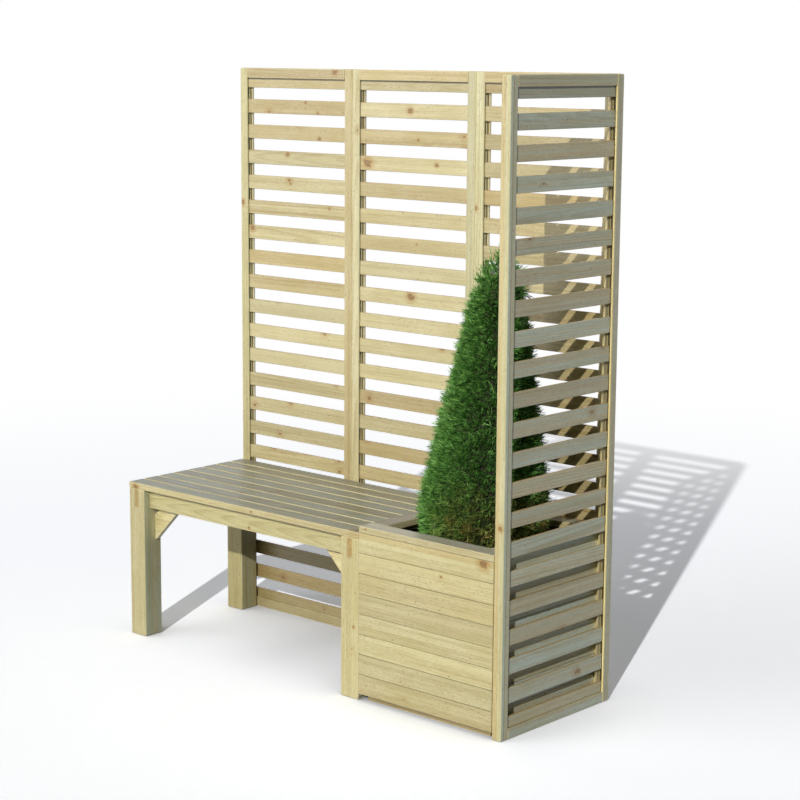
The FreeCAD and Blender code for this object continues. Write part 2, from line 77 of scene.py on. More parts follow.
# %% [markdown]
# ## Shader building
# Node trees are easier to read when one short call makes a node and links its inputs. `node` does that:
# an input is either a plain value or another node's output socket.

# %% Node helper


def node(tree, kind, inputs=None, **settings):
    """Adds a node of a kind, sets its properties, then fills or links its inputs by name or number."""
    made = tree.nodes.new(kind)
    for name, value in settings.items():
        setattr(made, name, value)
    for name, value in (inputs or {}).items():
        socket = made.inputs[name]
        if isinstance(value, bpy.types.NodeSocket):
            tree.links.new(value, socket)
        else:
            socket.default_value = value
    return made


def maths(tree, operation, a, b=0.0, c=0.0, clamp=False):
    """One sum, product or comparison of values."""
    made = node(tree, "ShaderNodeMath", {0: a, 1: b, 2: c}, operation=operation, use_clamp=clamp)
    return made.outputs[0]


def times(tree, a, b):
    """The product of two values."""
    return maths(tree, "MULTIPLY", a, b)


def plus(tree, total, value, weight):
    """A total with a weighted value added to it."""
    return maths(tree, "MULTIPLY_ADD", value, weight, total)


def spread(tree, value, start, end, low_out=0.0, high_out=1.0):
    """Carries start..end to low_out..high_out with a soft step at both ends."""
    made = node(tree, "ShaderNodeMapRange", {"Value": value, "From Min": start, "From Max": end,
                                             "To Min": low_out, "To Max": high_out},
                interpolation_type="SMOOTHSTEP")
    return made.outputs["Result"]


def mixed(tree, share, a, b, blend="MIX"):
    """Two colours mixed by a share."""
    made = node(tree, "ShaderNodeMix", None, data_type="RGBA", blend_type=blend)
    for name, value in (("Factor_Float", share), ("A_Color", a), ("B_Color", b)):
        socket = next(s for s in made.inputs if s.identifier == name)
        if isinstance(value, bpy.types.NodeSocket):
            tree.links.new(value, socket)
        else:
            socket.default_value = value
    return next(s for s in made.outputs if s.identifier == "Result_Color")


def tinted(tree, colour, tint):
    """A colour multiplied by a tint."""
    return mixed(tree, 1.0, colour, tint, "MULTIPLY")


def new_group(name, inputs, outputs):
    """An empty node group with named sockets; returns its tree, its input node and its output node."""
    tree = bpy.data.node_groups.new(name, "ShaderNodeTree")
    for socket, (kind, value) in inputs.items():
        made = tree.interface.new_socket(socket, in_out="INPUT", socket_type=kind)
        if value is not None:
            made.default_value = value
    for socket, kind in outputs.items():
        tree.interface.new_socket(socket, in_out="OUTPUT", socket_type=kind)
    return tree, tree.nodes.new("NodeGroupInput"), tree.nodes.new("NodeGroupOutput")


def new_material(name):
    """An empty material; returns it, its tree and its Principled shader."""
    material = bpy.data.materials.new(name)
    material.use_nodes = True
    tree = material.node_tree
    return material, tree, tree.nodes["Principled BSDF"]


print("shader helpers ready")

# %% [markdown]
# ## Softwood
# Planed, pressure treated softwood is straw coloured with a green cast. What the eye reads is: a tone of its
# own for each board, growth rings that run along the board as soft darker lines, very fine fibres and short
# dark ticks, and a few ragged knots. A knot is orange-brown with a darker heart, a thin dark rim and a warm
# halo, and the lines bend around it. The sawn ends show arcs of rings in a darker tone.
# It could be painted as an image, but then every board would need its own unwrapping. A procedural group
# reads the place in the board instead, so one group serves every board, and a seed moves the pattern.
#
# The rings are the real ones of a trunk: the distance from a heart line that runs beside the board, and
# drifts a little. Where the board's face cuts them flat they open into long arches, and on the sawn end
# they are arcs, without anything more to set.

# %% Softwood patterns
WHITE = (1, 1, 1, 1)
PALE = (0.690, 0.615, 0.345, 1)
WARM = (0.635, 0.510, 0.250, 1)
LATE_WOOD = (0.66, 0.58, 0.46, 1)
KNOT_WOOD = (0.52, 0.27, 0.055, 1)
KNOT_HEART = (0.27, 0.145, 0.028, 1)
KNOT_RIM = (0.11, 0.058, 0.014, 1)
KNOT_HALO = (0.60, 0.36, 0.12, 1)
PIN_KNOT = (0.16, 0.095, 0.045, 1)


def scaled(tree, vector, factors):
    """A place stretched or squeezed along its axes."""
    return node(tree, "ShaderNodeVectorMath", {0: vector, 1: factors}, operation="MULTIPLY").outputs[0]


def noise(tree, vector, detail=2.0, roughness=0.5):
    """Soft noise from about 0 to 1 at a place that is already scaled."""
    made = node(tree, "ShaderNodeTexNoise", {"Vector": vector, "Scale": 1.0, "Detail": detail,
                                             "Roughness": roughness})
    return made.outputs["Fac"]


def swing(tree, value):
    """A value from 0 to 1 moved to lie on both sides of zero."""
    return maths(tree, "SUBTRACT", value, 0.5)


def cell_pattern(tree, moved, factors):
    """The distance to the middle of a cell, and the cell's own random values."""
    cells = node(tree, "ShaderNodeTexVoronoi", {"Vector": scaled(tree, moved, factors), "Scale": 1.0},
                 voronoi_dimensions="2D", feature="F1")
    own = node(tree, "ShaderNodeSeparateColor", {"Color": cells.outputs["Color"]})
    return cells.outputs["Distance"], own.outputs


def knot_masks(tree, moved, given):
    """How deep a place lies in a knot, how near it is to one, and how deep it lies in a pin knot. Knots are
    branches that cross the board, so their cells are the same all through its thickness."""
    away, own = cell_pattern(tree, moved, (6.2, 9.0, 0.0))
    size = maths(tree, "POWER", spread(tree, own[0], 0.62, 1.0), 1.5)
    size = times(tree, times(tree, size, 0.075), given.outputs["Knots"])
    near = spread(tree, maths(tree, "SUBTRACT", away, size), 0.0, 0.15, 1.0, 0.0)
    near = times(tree, near, spread(tree, size, 0.004, 0.04))
    near = maths(tree, "MAXIMUM", near, spread(tree, given.outputs["Spot"], -1.4, 0.0))
    inside = maths(tree, "SUBTRACT", 1.0, maths(tree, "DIVIDE", away, maths(tree, "MAXIMUM", size, 0.0001)))
    ragged = swing(tree, noise(tree, scaled(tree, moved, (60.0, 95.0, 95.0)), 4.0, 0.75))
    knot = plus(tree, maths(tree, "MAXIMUM", inside, given.outputs["Spot"]), ragged, 2.4)
    pin_away, pin_own = cell_pattern(tree, moved, (9.0, 14.0, 0.0))
    pin = spread(tree, pin_away, 0.014, 0.030, 1.0, 0.0)
    return knot, near, times(tree, pin, spread(tree, pin_own[1], 0.62, 0.70))


def ring_lines(tree, place, moved, tones, near):
    """The dark late wood of the growth rings, 0 to 1: the distance from the heart line over the width of a
    ring, and of that the part after the point. The heart drifts along the board and swells round a knot."""
    first, second, third = tones
    along, across, through = node(tree, "ShaderNodeSeparateXYZ", {"Vector": place}).outputs
    drift = noise(tree, scaled(tree, moved, (1.1, 3.0, 3.0)), 1.0)
    heart_y = times(tree, swing(tree, third), 0.16)
    heart_z = spread(tree, second, 0.0, 1.0, 0.012, 0.075)
    slope = times(tree, times(tree, swing(tree, first), along), 0.05)
    y = maths(tree, "ADD", across, plus(tree, heart_y, drift, 0.030))
    z = maths(tree, "ADD", maths(tree, "ADD", through, heart_z), slope)
    heart = maths(tree, "SQRT", maths(tree, "ADD", times(tree, y, y), times(tree, z, z)))
    heart = maths(tree, "ADD", heart, times(tree, near, 0.006))
    turns = maths(tree, "DIVIDE", heart, spread(tree, first, 0.0, 1.0, 0.0030, 0.0062))
    saw = maths(tree, "FRACT", turns)
    return times(tree, spread(tree, saw, 0.30, 0.92), spread(tree, saw, 0.92, 1.0, 1.0, 0.0))


print("softwood patterns ready")

# %% [markdown]
# The group adds the patterns up to one depth of tone, from the pale base to the darker late wood. Knots go
# over it, then the tints of the face, which carry painted light and shade, and last the edges: pale with
# wear and a painted highlight on most boards, dark with painted shade on the slats and with joints on the
# planter's walls.

# %% Softwood node group
FLOAT, COLOR, VECTOR = "NodeSocketFloat", "NodeSocketColor", "NodeSocketVector"

wood_tree, wood_in, wood_out = new_group(
    "softwood",
    {"Place": (VECTOR, None), "End": (FLOAT, 0.0), "Edge": (FLOAT, 0.0), "Edge Colour": (COLOR, WHITE),
     "Seed": (FLOAT, 0.0), "Knots": (FLOAT, 1.0), "Spot": (FLOAT, -9.0), "Pale": (COLOR, PALE),
     "Warm": (COLOR, WARM), "Tint": (COLOR, WHITE), "Streak Tint": (COLOR, WHITE)},
    {"Color": COLOR, "Roughness": FLOAT, "Height": FLOAT})


def fill_softwood(tree, given, result):
    """Colour, roughness and relief from the place in a board: X along it, Y across it, Z through it."""
    place, end = given.outputs["Place"], given.outputs["End"]
    tone = node(tree, "ShaderNodeTexWhiteNoise", {"W": given.outputs["Seed"]}, noise_dimensions="1D")
    tones = node(tree, "ShaderNodeSeparateColor", {"Color": tone.outputs["Color"]})
    first, second, third = (tones.outputs[i] for i in range(3))
    shift = scaled(tree, tone.outputs["Color"], (41.0, 23.0, 31.0))
    moved = node(tree, "ShaderNodeVectorMath", {0: place, 1: shift}, operation="ADD").outputs[0]
    knot, near, pin = knot_masks(tree, moved, given)
    late = ring_lines(tree, place, moved, (first, second, third), near)

    # Fibres, short dark ticks, long streaks and slow patches
    fibre = noise(tree, scaled(tree, moved, (22.0, 330.0, 330.0)), 4.0, 0.75)
    tick = noise(tree, scaled(tree, moved, (95.0, 230.0, 230.0)), 3.0, 0.65)
    line = noise(tree, scaled(tree, moved, (1.6, 125.0, 125.0)), 2.0, 0.6)
    streak = noise(tree, scaled(tree, moved, (0.9, 46.0, 46.0)), 2.0)
    patch = noise(tree, scaled(tree, moved, (7.0, 16.0, 16.0)))
    ticks = times(tree, spread(tree, tick, 0.50, 0.72), spread(tree, patch, 0.30, 0.65, 0.25, 1.0))

    # The depth of tone, as a sum of what swings both ways and of what only darkens
    depth = times(tree, late, spread(tree, second, 0.2, 1.0, 0.14, 0.42))
    for lines, weight in ((fibre, 1.45), (streak, 1.30), (line, 1.10)):
        depth = plus(tree, depth, swing(tree, lines), weight)
    for marks, weight in ((ticks, 0.66), (near, 0.40), (end, plus(tree, 0.35, late, 0.45))):
        depth = plus(tree, depth, marks, weight)

    # Bare wood
    warmth = spread(tree, third, 0.45, 1.0, 0.0, 0.8)
    base = mixed(tree, warmth, given.outputs["Pale"], given.outputs["Warm"])
    wood = mixed(tree, maths(tree, "ADD", depth, 0.14, clamp=True), base, tinted(tree, base, LATE_WOOD))
    bright = times(tree, spread(tree, first, 0.0, 1.0, 0.90, 1.06), spread(tree, patch, 0.3, 0.7, 0.95, 1.05))
    vivid = spread(tree, patch, 0.3, 0.75, 1.06, 0.94)
    colour = node(tree, "ShaderNodeHueSaturation", {"Hue": 0.5, "Saturation": vivid, "Value": bright,
                                                    "Color": wood}).outputs["Color"]

    # Knots
    core = mixed(tree, spread(tree, knot, 0.05, 0.60), KNOT_WOOD, KNOT_HEART)
    rim = times(tree, spread(tree, knot, 0.15, 0.32), spread(tree, knot, 0.34, 0.55, 1.0, 0.0))
    core = mixed(tree, times(tree, rim, 0.80), core, KNOT_RIM)
    knot_mask = spread(tree, knot, -0.30, 0.35)
    cover = times(tree, knot_mask, spread(tree, fibre, 0.35, 0.6, 1.0, 0.75))
    colour = mixed(tree, times(tree, near, 0.30), colour, KNOT_HALO)
    colour = mixed(tree, cover, colour, core)
    colour = mixed(tree, times(tree, pin, 0.75), colour, PIN_KNOT)

    # Tints, in streaks, that carry painted light and shade, and edges with wear and painted light
    band = noise(tree, scaled(tree, moved, (1.3, 85.0, 85.0)), 2.0)
    streaked = spread(tree, plus(tree, band, third, 0.24), 0.48, 0.78)
    tint = mixed(tree, streaked, given.outputs["Tint"], given.outputs["Streak Tint"])
    edge_wear_and_light = times(tree, given.outputs["Edge"], spread(tree, patch, 0.30, 0.6, 0.4, 1.0))
    colour = mixed(tree, times(tree, edge_wear_and_light, 0.75), tinted(tree, colour, tint), given.outputs["Edge Colour"])
    tree.links.new(colour, result.inputs["Color"])

    # Roughness and relief
    rough = plus(tree, plus(tree, 0.40, late, 0.08), swing(tree, fibre), 0.25)
    tree.links.new(maths(tree, "MULTIPLY_ADD", end, 0.25, rough, clamp=True), result.inputs["Roughness"])
    relief = plus(tree, plus(tree, times(tree, late, -0.35), fibre, 0.6), tick, 0.3)
    tree.links.new(plus(tree, relief, knot_mask, -0.4), result.inputs["Height"])


fill_softwood(wood_tree, wood_in, wood_out)
print("softwood group:", len(wood_tree.nodes), "nodes")

# %% [markdown]
# Arrises, the long rounded edges, differ from the faces. On most boards they are pale, partly rubbed wear
# and partly a painted highlight where the rounded edge catches the light. On the slats the same mask is
# dark brown, a painted shade along their edges, and on the planter's walls it is dark for the joints
# between boards. The group below finds it from the board's own box: of the three distances to the nearest
# face along X, Y and Z, one is zero on any face, and the middle one says how far away the next face begins.

# %% Arris node group
arris_tree, arris_in, arris_out = new_group(
    "arris",
    {"Place": (VECTOR, None), "Low": (VECTOR, None), "High": (VECTOR, None), "Width": (FLOAT, 4 * MM)},
    {"Edge": FLOAT})


def fill_arris(tree, given, result):
    """A mask that is 1 on the board's edges and fades over a width."""
    place = given.outputs["Place"]
    from_low = node(tree, "ShaderNodeVectorMath", {0: place, 1: given.outputs["Low"]}, operation="SUBTRACT")
    from_high = node(tree, "ShaderNodeVectorMath", {0: given.outputs["High"], 1: place}, operation="SUBTRACT")
    nearest = node(tree, "ShaderNodeVectorMath", {0: from_low.outputs[0], 1: from_high.outputs[0]},
                   operation="MINIMUM")
    parts = node(tree, "ShaderNodeSeparateXYZ", {"Vector": nearest.outputs[0]})
    a, b, c = parts.outputs
    less, more = maths(tree, "MINIMUM", a, b), maths(tree, "MAXIMUM", a, b)
    middle = maths(tree, "MAXIMUM", less, maths(tree, "MINIMUM", more, c))
    wobble = noise(tree, scaled(tree, place, (90.0, 90.0, 90.0)))
    reach = times(tree, given.outputs["Width"], plus(tree, 0.4, wobble, 1.2))
    edge = maths(tree, "SUBTRACT", 1.0, maths(tree, "DIVIDE", middle, reach), clamp=True)
    tree.links.new(edge, result.inputs["Edge"])


fill_arris(arris_tree, arris_in, arris_out)
print("arris group:", len(arris_tree.nodes), "nodes")

# %% [markdown]
# ## One material for each node of boards
# A board's length can lie along X, Y or Z. Its axes are only put in another order, so that X is along the
# grain, Y across the wide face and Z through the board. Slats and wall boards share one node, so their seed
# also counts the rows: the height over the first edge, divided by the pitch and rounded down.
#
# Faces that look up or to the right have tints of their own, and so have some strips and whole pieces. They
# were set by comparing renders with the photograph. Most of them are painted light and shade: bluer faces
# to the right and on some tops, darker pieces and strips where shade falls, lighter ones where light falls.
# They stay with the bench when it is seen from another side.

# %% Parts of a board's material
AXES = {"X": 0, "Y": 1, "Z": 2}
END_TINT = (0.91, 0.81, 0.63, 1)
# The foot tint is a painted shade that darkens the back panels towards the ground, most under the seat.
FOOT_PAINTED_SHADE = (0.55, 0.50, 0.41, 1)
FOOT_START = 0.10
# The slot colour is a painted shade on a stile's inner face where the slats run into it.
SLOT_SHADE_COLOUR = (0.07, 0.07, 0.07, 1)
SLOT_FADE = 0.8 * MM
STRIPE_FADE = 0.4 * MM


def pick(tree, vector, order):
    """A vector with its axes put in another order, given as three letters."""
    parts = node(tree, "ShaderNodeSeparateXYZ", {"Vector": vector})
    chosen = {i: parts.outputs[AXES[letter]] for i, letter in enumerate(order)}
    return node(tree, "ShaderNodeCombineXYZ", chosen).outputs[0]


def row_of_boards(tree, parts, first, pitch, height):
    """The number of the row that a place is in, and the place brought down into the first row."""
    rise = maths(tree, "ADD", maths(tree, "SUBTRACT", parts[2], first), (pitch - height) / 2)
    row = maths(tree, "FLOOR", maths(tree, "DIVIDE", rise, pitch))
    lowered = maths(tree, "SUBTRACT", parts[2], times(tree, row, pitch))
    return row, node(tree, "ShaderNodeCombineXYZ", {0: parts[0], 1: parts[1], 2: lowered}).outputs[0]


def spot_depth(tree, place, order, spots):
    """How deep a place lies in the nearest of the given knots: 1 at its middle and 0 at its rim, which is a
    little longer along the grain."""
    depth = None
    for spot, radius in spots:
        middle = tuple(v * MM for v in spot)
        reach = radius * MM
        from_spot = node(tree, "ShaderNodeVectorMath", {0: place, 1: middle}, operation="SUBTRACT").outputs[0]
        flat = scaled(tree, pick(tree, from_spot, order), (0.85 / reach, 1 / reach, 1 / reach))
        length = node(tree, "ShaderNodeVectorMath", {0: flat}, operation="LENGTH").outputs["Value"]
        inside = maths(tree, "SUBTRACT", 1.0, length)
        depth = maths(tree, "MAXIMUM", depth, inside) if depth else inside
    return depth


def strip(tree, coordinate, start, stop, fade):
    """A mask along one axis that rises to 1 just after start and falls back to 0 just after stop."""
    return times(tree, spread(tree, coordinate, start, start + fade),
                 spread(tree, coordinate, stop, stop + fade, 1.0, 0.0))


def face_tint(tree, looks, facing, parts, top, side, shade, foot, slot, stripes):
    """The tint of the way a face looks, mostly painted light, times the piece's tint, and then its painted
    shade at the foot and in the slot, and its stripes.
    """
    tint = WHITE
    for look, own_tint in zip(looks, (top, side, END_TINT)):
        tint = mixed(tree, look, tint, own_tint)
    tint = tinted(tree, tint, shade)
    if foot:
        lowness = spread(tree, parts[2], FOOT_START, foot, 1.0, 0.0)
        tint = mixed(tree, lowness, tint, tinted(tree, tint, FOOT_PAINTED_SHADE))
    if slot:
        axis, sign, depth_axis, start, stop = slot
        inner = spread(tree, times(tree, facing[axis], sign), 0.6, 0.9)
        deep = strip(tree, parts[depth_axis], start, stop, SLOT_FADE)
        tint = mixed(tree, times(tree, inner, deep), tint, SLOT_SHADE_COLOUR)
    for axis, start, stop, own_tint in stripes:
        inside = strip(tree, parts[axis], start - STRIPE_FADE, stop, STRIPE_FADE)
        tint = mixed(tree, inside, tint, tinted(tree, tint, own_tint))
    return tint


print("board helpers ready")

# %% [markdown]
# Knots that the photograph shows are placed one by one: the middle along X, Y and Z and the radius, both in
# millimetres. All others come from the seed. Below them are the tints of whole pieces, their own tone
# together with painted light and shade.

# %% Knots and shades
KNOTS_SEEN = {
    "planter_front_boards": (((697, -266, 489), 13), ((546, -266, 426), 4)),
    "planter_rim_front": (((261, -266, 513), 3),),
    "side_panel_stile_left": (((754, -266, 597), 7),),
    "seat_board_1": (((-735, -266, 486), 9), ((-208, -266, 489), 3)),
    "leg_front_right": (((216, -266, 216), 4),),
    "front_apron": (((-242, -242, 430), 4),),
    "back_panel_1_top_rail": (((-339, 234, 1790), 8),),
    "back_panel_1_slats": (((-474, 240, 1694), 4), ((-420, 240, 1661), 4), ((-412, 240, 1581), 6),
                           ((-555, 240, 1527), 7), ((-542, 240, 1434), 4), ((-368, 240, 1363), 4),
                           ((-719, 240, 1280), 9)),
    "back_panel_1_stile_left": (((-757, 234, 1363), 8),),
    "back_panel_2_slats": (((-29, 240, 1679), 9), ((5, 240, 1592), 4), ((-205, 240, 1514), 15),
                           ((79, 240, 1519), 6), ((-21, 240, 1112), 12), ((1, 240, 1275), 3)),
    "back_panel_3_stile_left": (((240, 234, 1400), 6),),
}
# Tints of whole pieces. Some even out the pieces' own tone. The others are painted light and shade: the rear
# pieces, the side panel's beads and the planter's posts, bearers and floor boards are darker for the shade
# they stand in; the front braces, the side panel's rear stile and the planter's right wall are lighter for
# the light that falls on them.
TONES_AND_PAINTED_LIGHT = {
    "back_panel_1_stile_left": (1.09, 1.10, 0.99, 1),
    "back_panel_2_stile_right": (1.00, 1.03, 1.03, 1),
    "back_panel_3_stile_left": (1.17, 1.22, 1.25, 1),
    "back_panel_3_slats": (0.86, 0.83, 0.78, 1),
    "side_panel_stile_left": (1.06, 1.08, 1.03, 1),
    "side_panel_stile_right": (1.16, 1.16, 1.16, 1),
    "side_panel_beads": (0.78, 0.78, 0.76, 1),
    "front_braces": (1.40, 1.42, 1.50, 1),
    "leg_front_right": (1.14, 1.15, 1.12, 1),
    "front_apron": (1.05, 1.08, 1.04, 1),
    "planter_front_boards": (1.04, 1.07, 1.06, 1),
    "planter_right_boards": (1.20, 1.30, 1.62, 1),
}
TONES_AND_PAINTED_LIGHT |= dict.fromkeys(("leg_rear_left", "leg_rear_right", "rear_apron", "rear_braces"),
                        (0.74, 0.74, 0.68, 1))
TONES_AND_PAINTED_LIGHT |= dict.fromkeys(("planter_corner_posts", "planter_bearers", "planter_floor_boards"),
                        (0.66, 0.60, 0.52, 1))
print(sum(len(spots) for spots in KNOTS_SEEN.values()), "knots placed,", len(TONES_AND_PAINTED_LIGHT), "pieces shaded")

# %% [markdown]
# The material itself finds the place within its board, asks the softwood group for colour, roughness and
# relief, and adds a thin coat for the slight sheen of planed wood.

# %% Board material
# The pale edge colour is partly rubbed wear and partly a painted highlight. Faces that look to the right get
# a painted light: cooler and bluer, as light from the sky falls on them.
PALE_EDGE = (0.80, 0.71, 0.39, 1)
RIGHT_FACE_PAINTED_LIGHT = ((0.84, 1.03, 1.42, 1), (0.88, 0.92, 1.05, 1))


def board_material(name, order, seed, rows=None, edge=(4 * MM, PALE_EDGE), top=(WHITE, WHITE), side=RIGHT_FACE_PAINTED_LIGHT,
                   foot=None, tones=(PALE, WARM), slot=None, stripes=(), knots=1.0, coat=0.5):
    """Softwood for a board whose length, width and thickness lie along three given axes. Boards in rows are
    told apart by their first lower edge, pitch and height. `edge` is the width and colour of the edges: pale
    for wear and a painted highlight, dark for painted shade and joints. `top` and `side` are two tints each,
    for streaks, of the faces that look up and to the right, mostly painted light; `foot` is the height up to
    which a painted shade darkens the wood towards the ground; `slot` is an axis, a side and a range in depth
    where a painted shade darkens a stile's inner face beside the slats; `stripes` are joints, painted
    shadows, painted highlights and strips of tone, each an axis, a range along it and a tint."""
    material, tree, shader = new_material(name)
    here = node(tree, "ShaderNodeTexCoord")
    place = here.outputs["Object"]
    parts = node(tree, "ShaderNodeSeparateXYZ", {"Vector": place}).outputs
    facing = node(tree, "ShaderNodeSeparateXYZ", {"Vector": here.outputs["Normal"]}).outputs
    wood = node(tree, "ShaderNodeGroup", {"Seed": seed, "Knots": knots, "Edge Colour": edge[1],
                                          "Pale": tones[0], "Warm": tones[1]}, node_tree=wood_tree)

    # The place in the board and its edges
    within = place
    (low_x, low_y, low_z), (high_x, high_y, high_z) = low(name), high(name)
    if rows:
        first, pitch, height = rows
        row, within = row_of_boards(tree, parts, first, pitch, height)
        low_z, high_z = first, first + height
        tree.links.new(plus(tree, seed, row, 1.37), wood.inputs["Seed"])
    arris = node(tree, "ShaderNodeGroup", {"Place": within, "Low": (low_x, low_y, low_z), "Width": edge[0],
                                           "High": (high_x, high_y, high_z)}, node_tree=arris_tree)
    tree.links.new(arris.outputs["Edge"], wood.inputs["Edge"])
    middle = ((low_x + high_x) / 2, (low_y + high_y) / 2, (low_z + high_z) / 2)
    centred = node(tree, "ShaderNodeVectorMath", {0: within, 1: middle}, operation="SUBTRACT").outputs[0]
    tree.links.new(pick(tree, centred, order), wood.inputs["Place"])

    # Its knots, sawn ends and tints
    knot = spot_depth(tree, place, order, KNOTS_SEEN.get(name, ()))
    if knot:
        tree.links.new(knot, wood.inputs["Spot"])
    end = spread(tree, maths(tree, "ABSOLUTE", facing[AXES[order[0]]]), 0.72, 0.86)
    tree.links.new(end, wood.inputs["End"])
    looks = (spread(tree, facing[2], 0.60, 0.9), spread(tree, facing[0], 0.60, 0.9), end)
    for socket, own_top, own_side in zip(("Tint", "Streak Tint"), top, side):
        tint = face_tint(tree, looks, facing, parts, own_top, own_side, TONES_AND_PAINTED_LIGHT.get(name, WHITE), foot, slot,
                         stripes)
        tree.links.new(tint, wood.inputs[socket])

    bump = node(tree, "ShaderNodeBump", {"Height": wood.outputs["Height"], "Strength": 0.4,
                                         "Distance": 0.4 * MM})
    shader.inputs["Coat Weight"].default_value = coat
    shader.inputs["Coat Roughness"].default_value = 0.25
    tree.links.new(wood.outputs["Color"], shader.inputs["Base Color"])
    tree.links.new(wood.outputs["Roughness"], shader.inputs["Roughness"])
    tree.links.new(bump.outputs["Normal"], shader.inputs["Normal"])
    return material


def finish_node(name, material):
    """Gives a node of the construction its material."""
    mesh = nodes[name].data
    mesh.materials.clear()
    mesh.materials.append(material)


def finish_board(name, order, seed, **own):
    """Gives a node of boards a softwood material of its own."""
    finish_node(name, board_material(name, order, seed, **own))


print("board material ready")

# %% [markdown]
# ## Panels
# A slatted panel is two stiles and two rails round thin slats, with a bead behind the slats' ends. Thin dark
# lines part its pieces in the photograph. Here they are stripes of a dark tint and not gaps in the mesh: the
# painted shadow under the top rail, the joint above the bottom rail, and the painted shade in the gap beside
# a back panel's bead. The stiles have a painted shade where the slats run into their slots, and a painted
# shade darkens the back panels towards the ground. The side panel's stiles have painted highlights in
# strips, and the slats' edges are a brown painted shade.

# %% Panels
SLAT_COUNT = 22
SLAT_HEIGHT = 45 * MM
FOOT_HEIGHT = 1.1
SLAT_TOP = ((0.80, 0.62, 0.46, 1), (0.86, 0.72, 0.58, 1))
# The slats' brown edges, the bead gap and the shadow under the top rail are painted shade; the cool and
# bright strips are painted highlights, and the rear stile's side tints are painted light.
BROWN_EDGE_SHADE = (0.36, 0.27, 0.13, 1)
# The seam tint draws dark joints, and also the painted shadows under the rim and along the bearers' tops.
JOINT_AND_SHADE_TINT = (0.38, 0.33, 0.27, 1)
BEAD_GAP_SHADE = (0.20, 0.19, 0.17, 1)
RAIL_SHADOW = (0.33, 0.33, 0.31, 1)
TOP_SLAT_TINT = (0.74, 0.72, 0.68, 1)
COOL_HIGHLIGHT_STRIP = (1.06, 1.20, 1.42, 1)
WARM_STRIP = (1.0, 0.90, 0.78, 1)
BRIGHT_HIGHLIGHT_STRIP = (1.50, 1.36, 0.98, 1)
REAR_STILE_SIDE_LIGHT = ((0.74, 0.81, 0.98, 1), (0.76, 0.79, 0.86, 1))
PANEL_TONES = ((0.760, 0.705, 0.430, 1), (0.690, 0.575, 0.300, 1))
SLAT_TONES = ((0.740, 0.665, 0.380, 1), (0.660, 0.530, 0.255, 1))


def frame_stripes(name):
    """The stripes of a panel's stile, rail or beads, each an axis, a range along it and a tint."""
    (x, y, _), top = low(name), high(name).z
    # The side panel's stiles get painted highlights in strips, and the beads of the back panels a painted
    # shade in the gap beside them.
    if name == "side_panel_stile_left":
        return ((1, y + 1 * MM, y + 10 * MM, COOL_HIGHLIGHT_STRIP), (1, y + 13 * MM, y + 14 * MM, JOINT_AND_SHADE_TINT),
                (0, x, x + 17 * MM, WARM_STRIP))
    if name == "side_panel_stile_right":
        return ((1, y, y + 5 * MM, BRIGHT_HIGHLIGHT_STRIP),)
    if name.endswith("bottom_rail"):
        return ((2, top - 1.5 * MM, top, JOINT_AND_SHADE_TINT),)
    if name.endswith("beads") and name != "side_panel_beads":
        return ((0, x - 1 * MM, x + 6 * MM, BEAD_GAP_SHADE),)
    return ()


slat_pitch = (high("back_panel_1_slats").z - low("back_panel_1_slats").z - SLAT_HEIGHT) / (SLAT_COUNT - 1)
for number, panel in enumerate(("back_panel_1", "back_panel_2", "back_panel_3", "side_panel")):
    corner = panel == "side_panel"
    flat = "YZX" if corner else "XZY"
    upright = "Z" + flat[0] + flat[2]
    across, through = (1, 0) if corner else (0, 1)
    slats = f"{panel}_slats"
    slot_start = low(slats)[through] - (6 * MM if corner else 2 * MM)
    slot_end = high(slats)[through] + 2 * MM
    foot = None if corner else FOOT_HEIGHT
    for step, (part, order) in enumerate((("stile_left", upright), ("stile_right", upright),
                                          ("top_rail", flat), ("bottom_rail", flat), ("beads", upright))):
        name = f"{panel}_{part}"
        inward = {"stile_left": 1.0, "stile_right": -1.0}.get(part)
        tones = PANEL_TONES
        if inward and name in TONES_AND_PAINTED_LIGHT:
            tones = PANEL_TONES[:1] * 2
        if part == "top_rail":
            tones = PANEL_TONES[1:] * 2
        finish_board(name, order, 11.3 + 7 * number + step, foot=foot, tones=tones,
                     side=REAR_STILE_SIDE_LIGHT if name == "side_panel_stile_right" else RIGHT_FACE_PAINTED_LIGHT,
                     slot=(across, inward, through, slot_start, slot_end) if inward else None,
                     stripes=frame_stripes(name), knots=0.3)
    rail = low(f"{panel}_top_rail").z
    stripes = [(2, rail - 5 * MM, rail, RAIL_SHADOW)]
    if corner:
        stripes.append((2, high(slats).z - SLAT_HEIGHT, high(slats).z, TOP_SLAT_TINT))
    finish_board(slats, flat, 101.7 + 31 * number, rows=(low(slats).z, slat_pitch, SLAT_HEIGHT),
                 edge=(2 * MM, BROWN_EDGE_SHADE), top=SLAT_TOP, foot=foot, stripes=stripes,
                 tones=PANEL_TONES if corner else SLAT_TONES, knots=1.3 if corner else 0.8)
print("panels finished, slat pitch", round(slat_pitch / MM, 1), "mm")

# %% [markdown]
# ## Bench
# The legs are square stock, and the seat is boards laid flat. The tops of the seat boards are duller than
# their edges and tinted greyer and bluer, a painted light from the sky. Their edges are pale, partly rubbed
# and partly a painted highlight. The rear pieces have no coat and a darker tint, a painted shade, because
# without that they came out lighter than in the photograph.

# %% Bench
BENCH_TONES = ((0.690, 0.615, 0.325, 1), (0.635, 0.505, 0.235, 1))
SEAT_TONES = (PALE, (0.660, 0.565, 0.300, 1))
# The seat's top tints are painted light from the sky.
SEAT_TOP_PAINTED_LIGHT = ((0.48, 0.590, 0.88, 1), (0.505, 0.565, 0.755, 1))
SEAT_BOARDS = 8

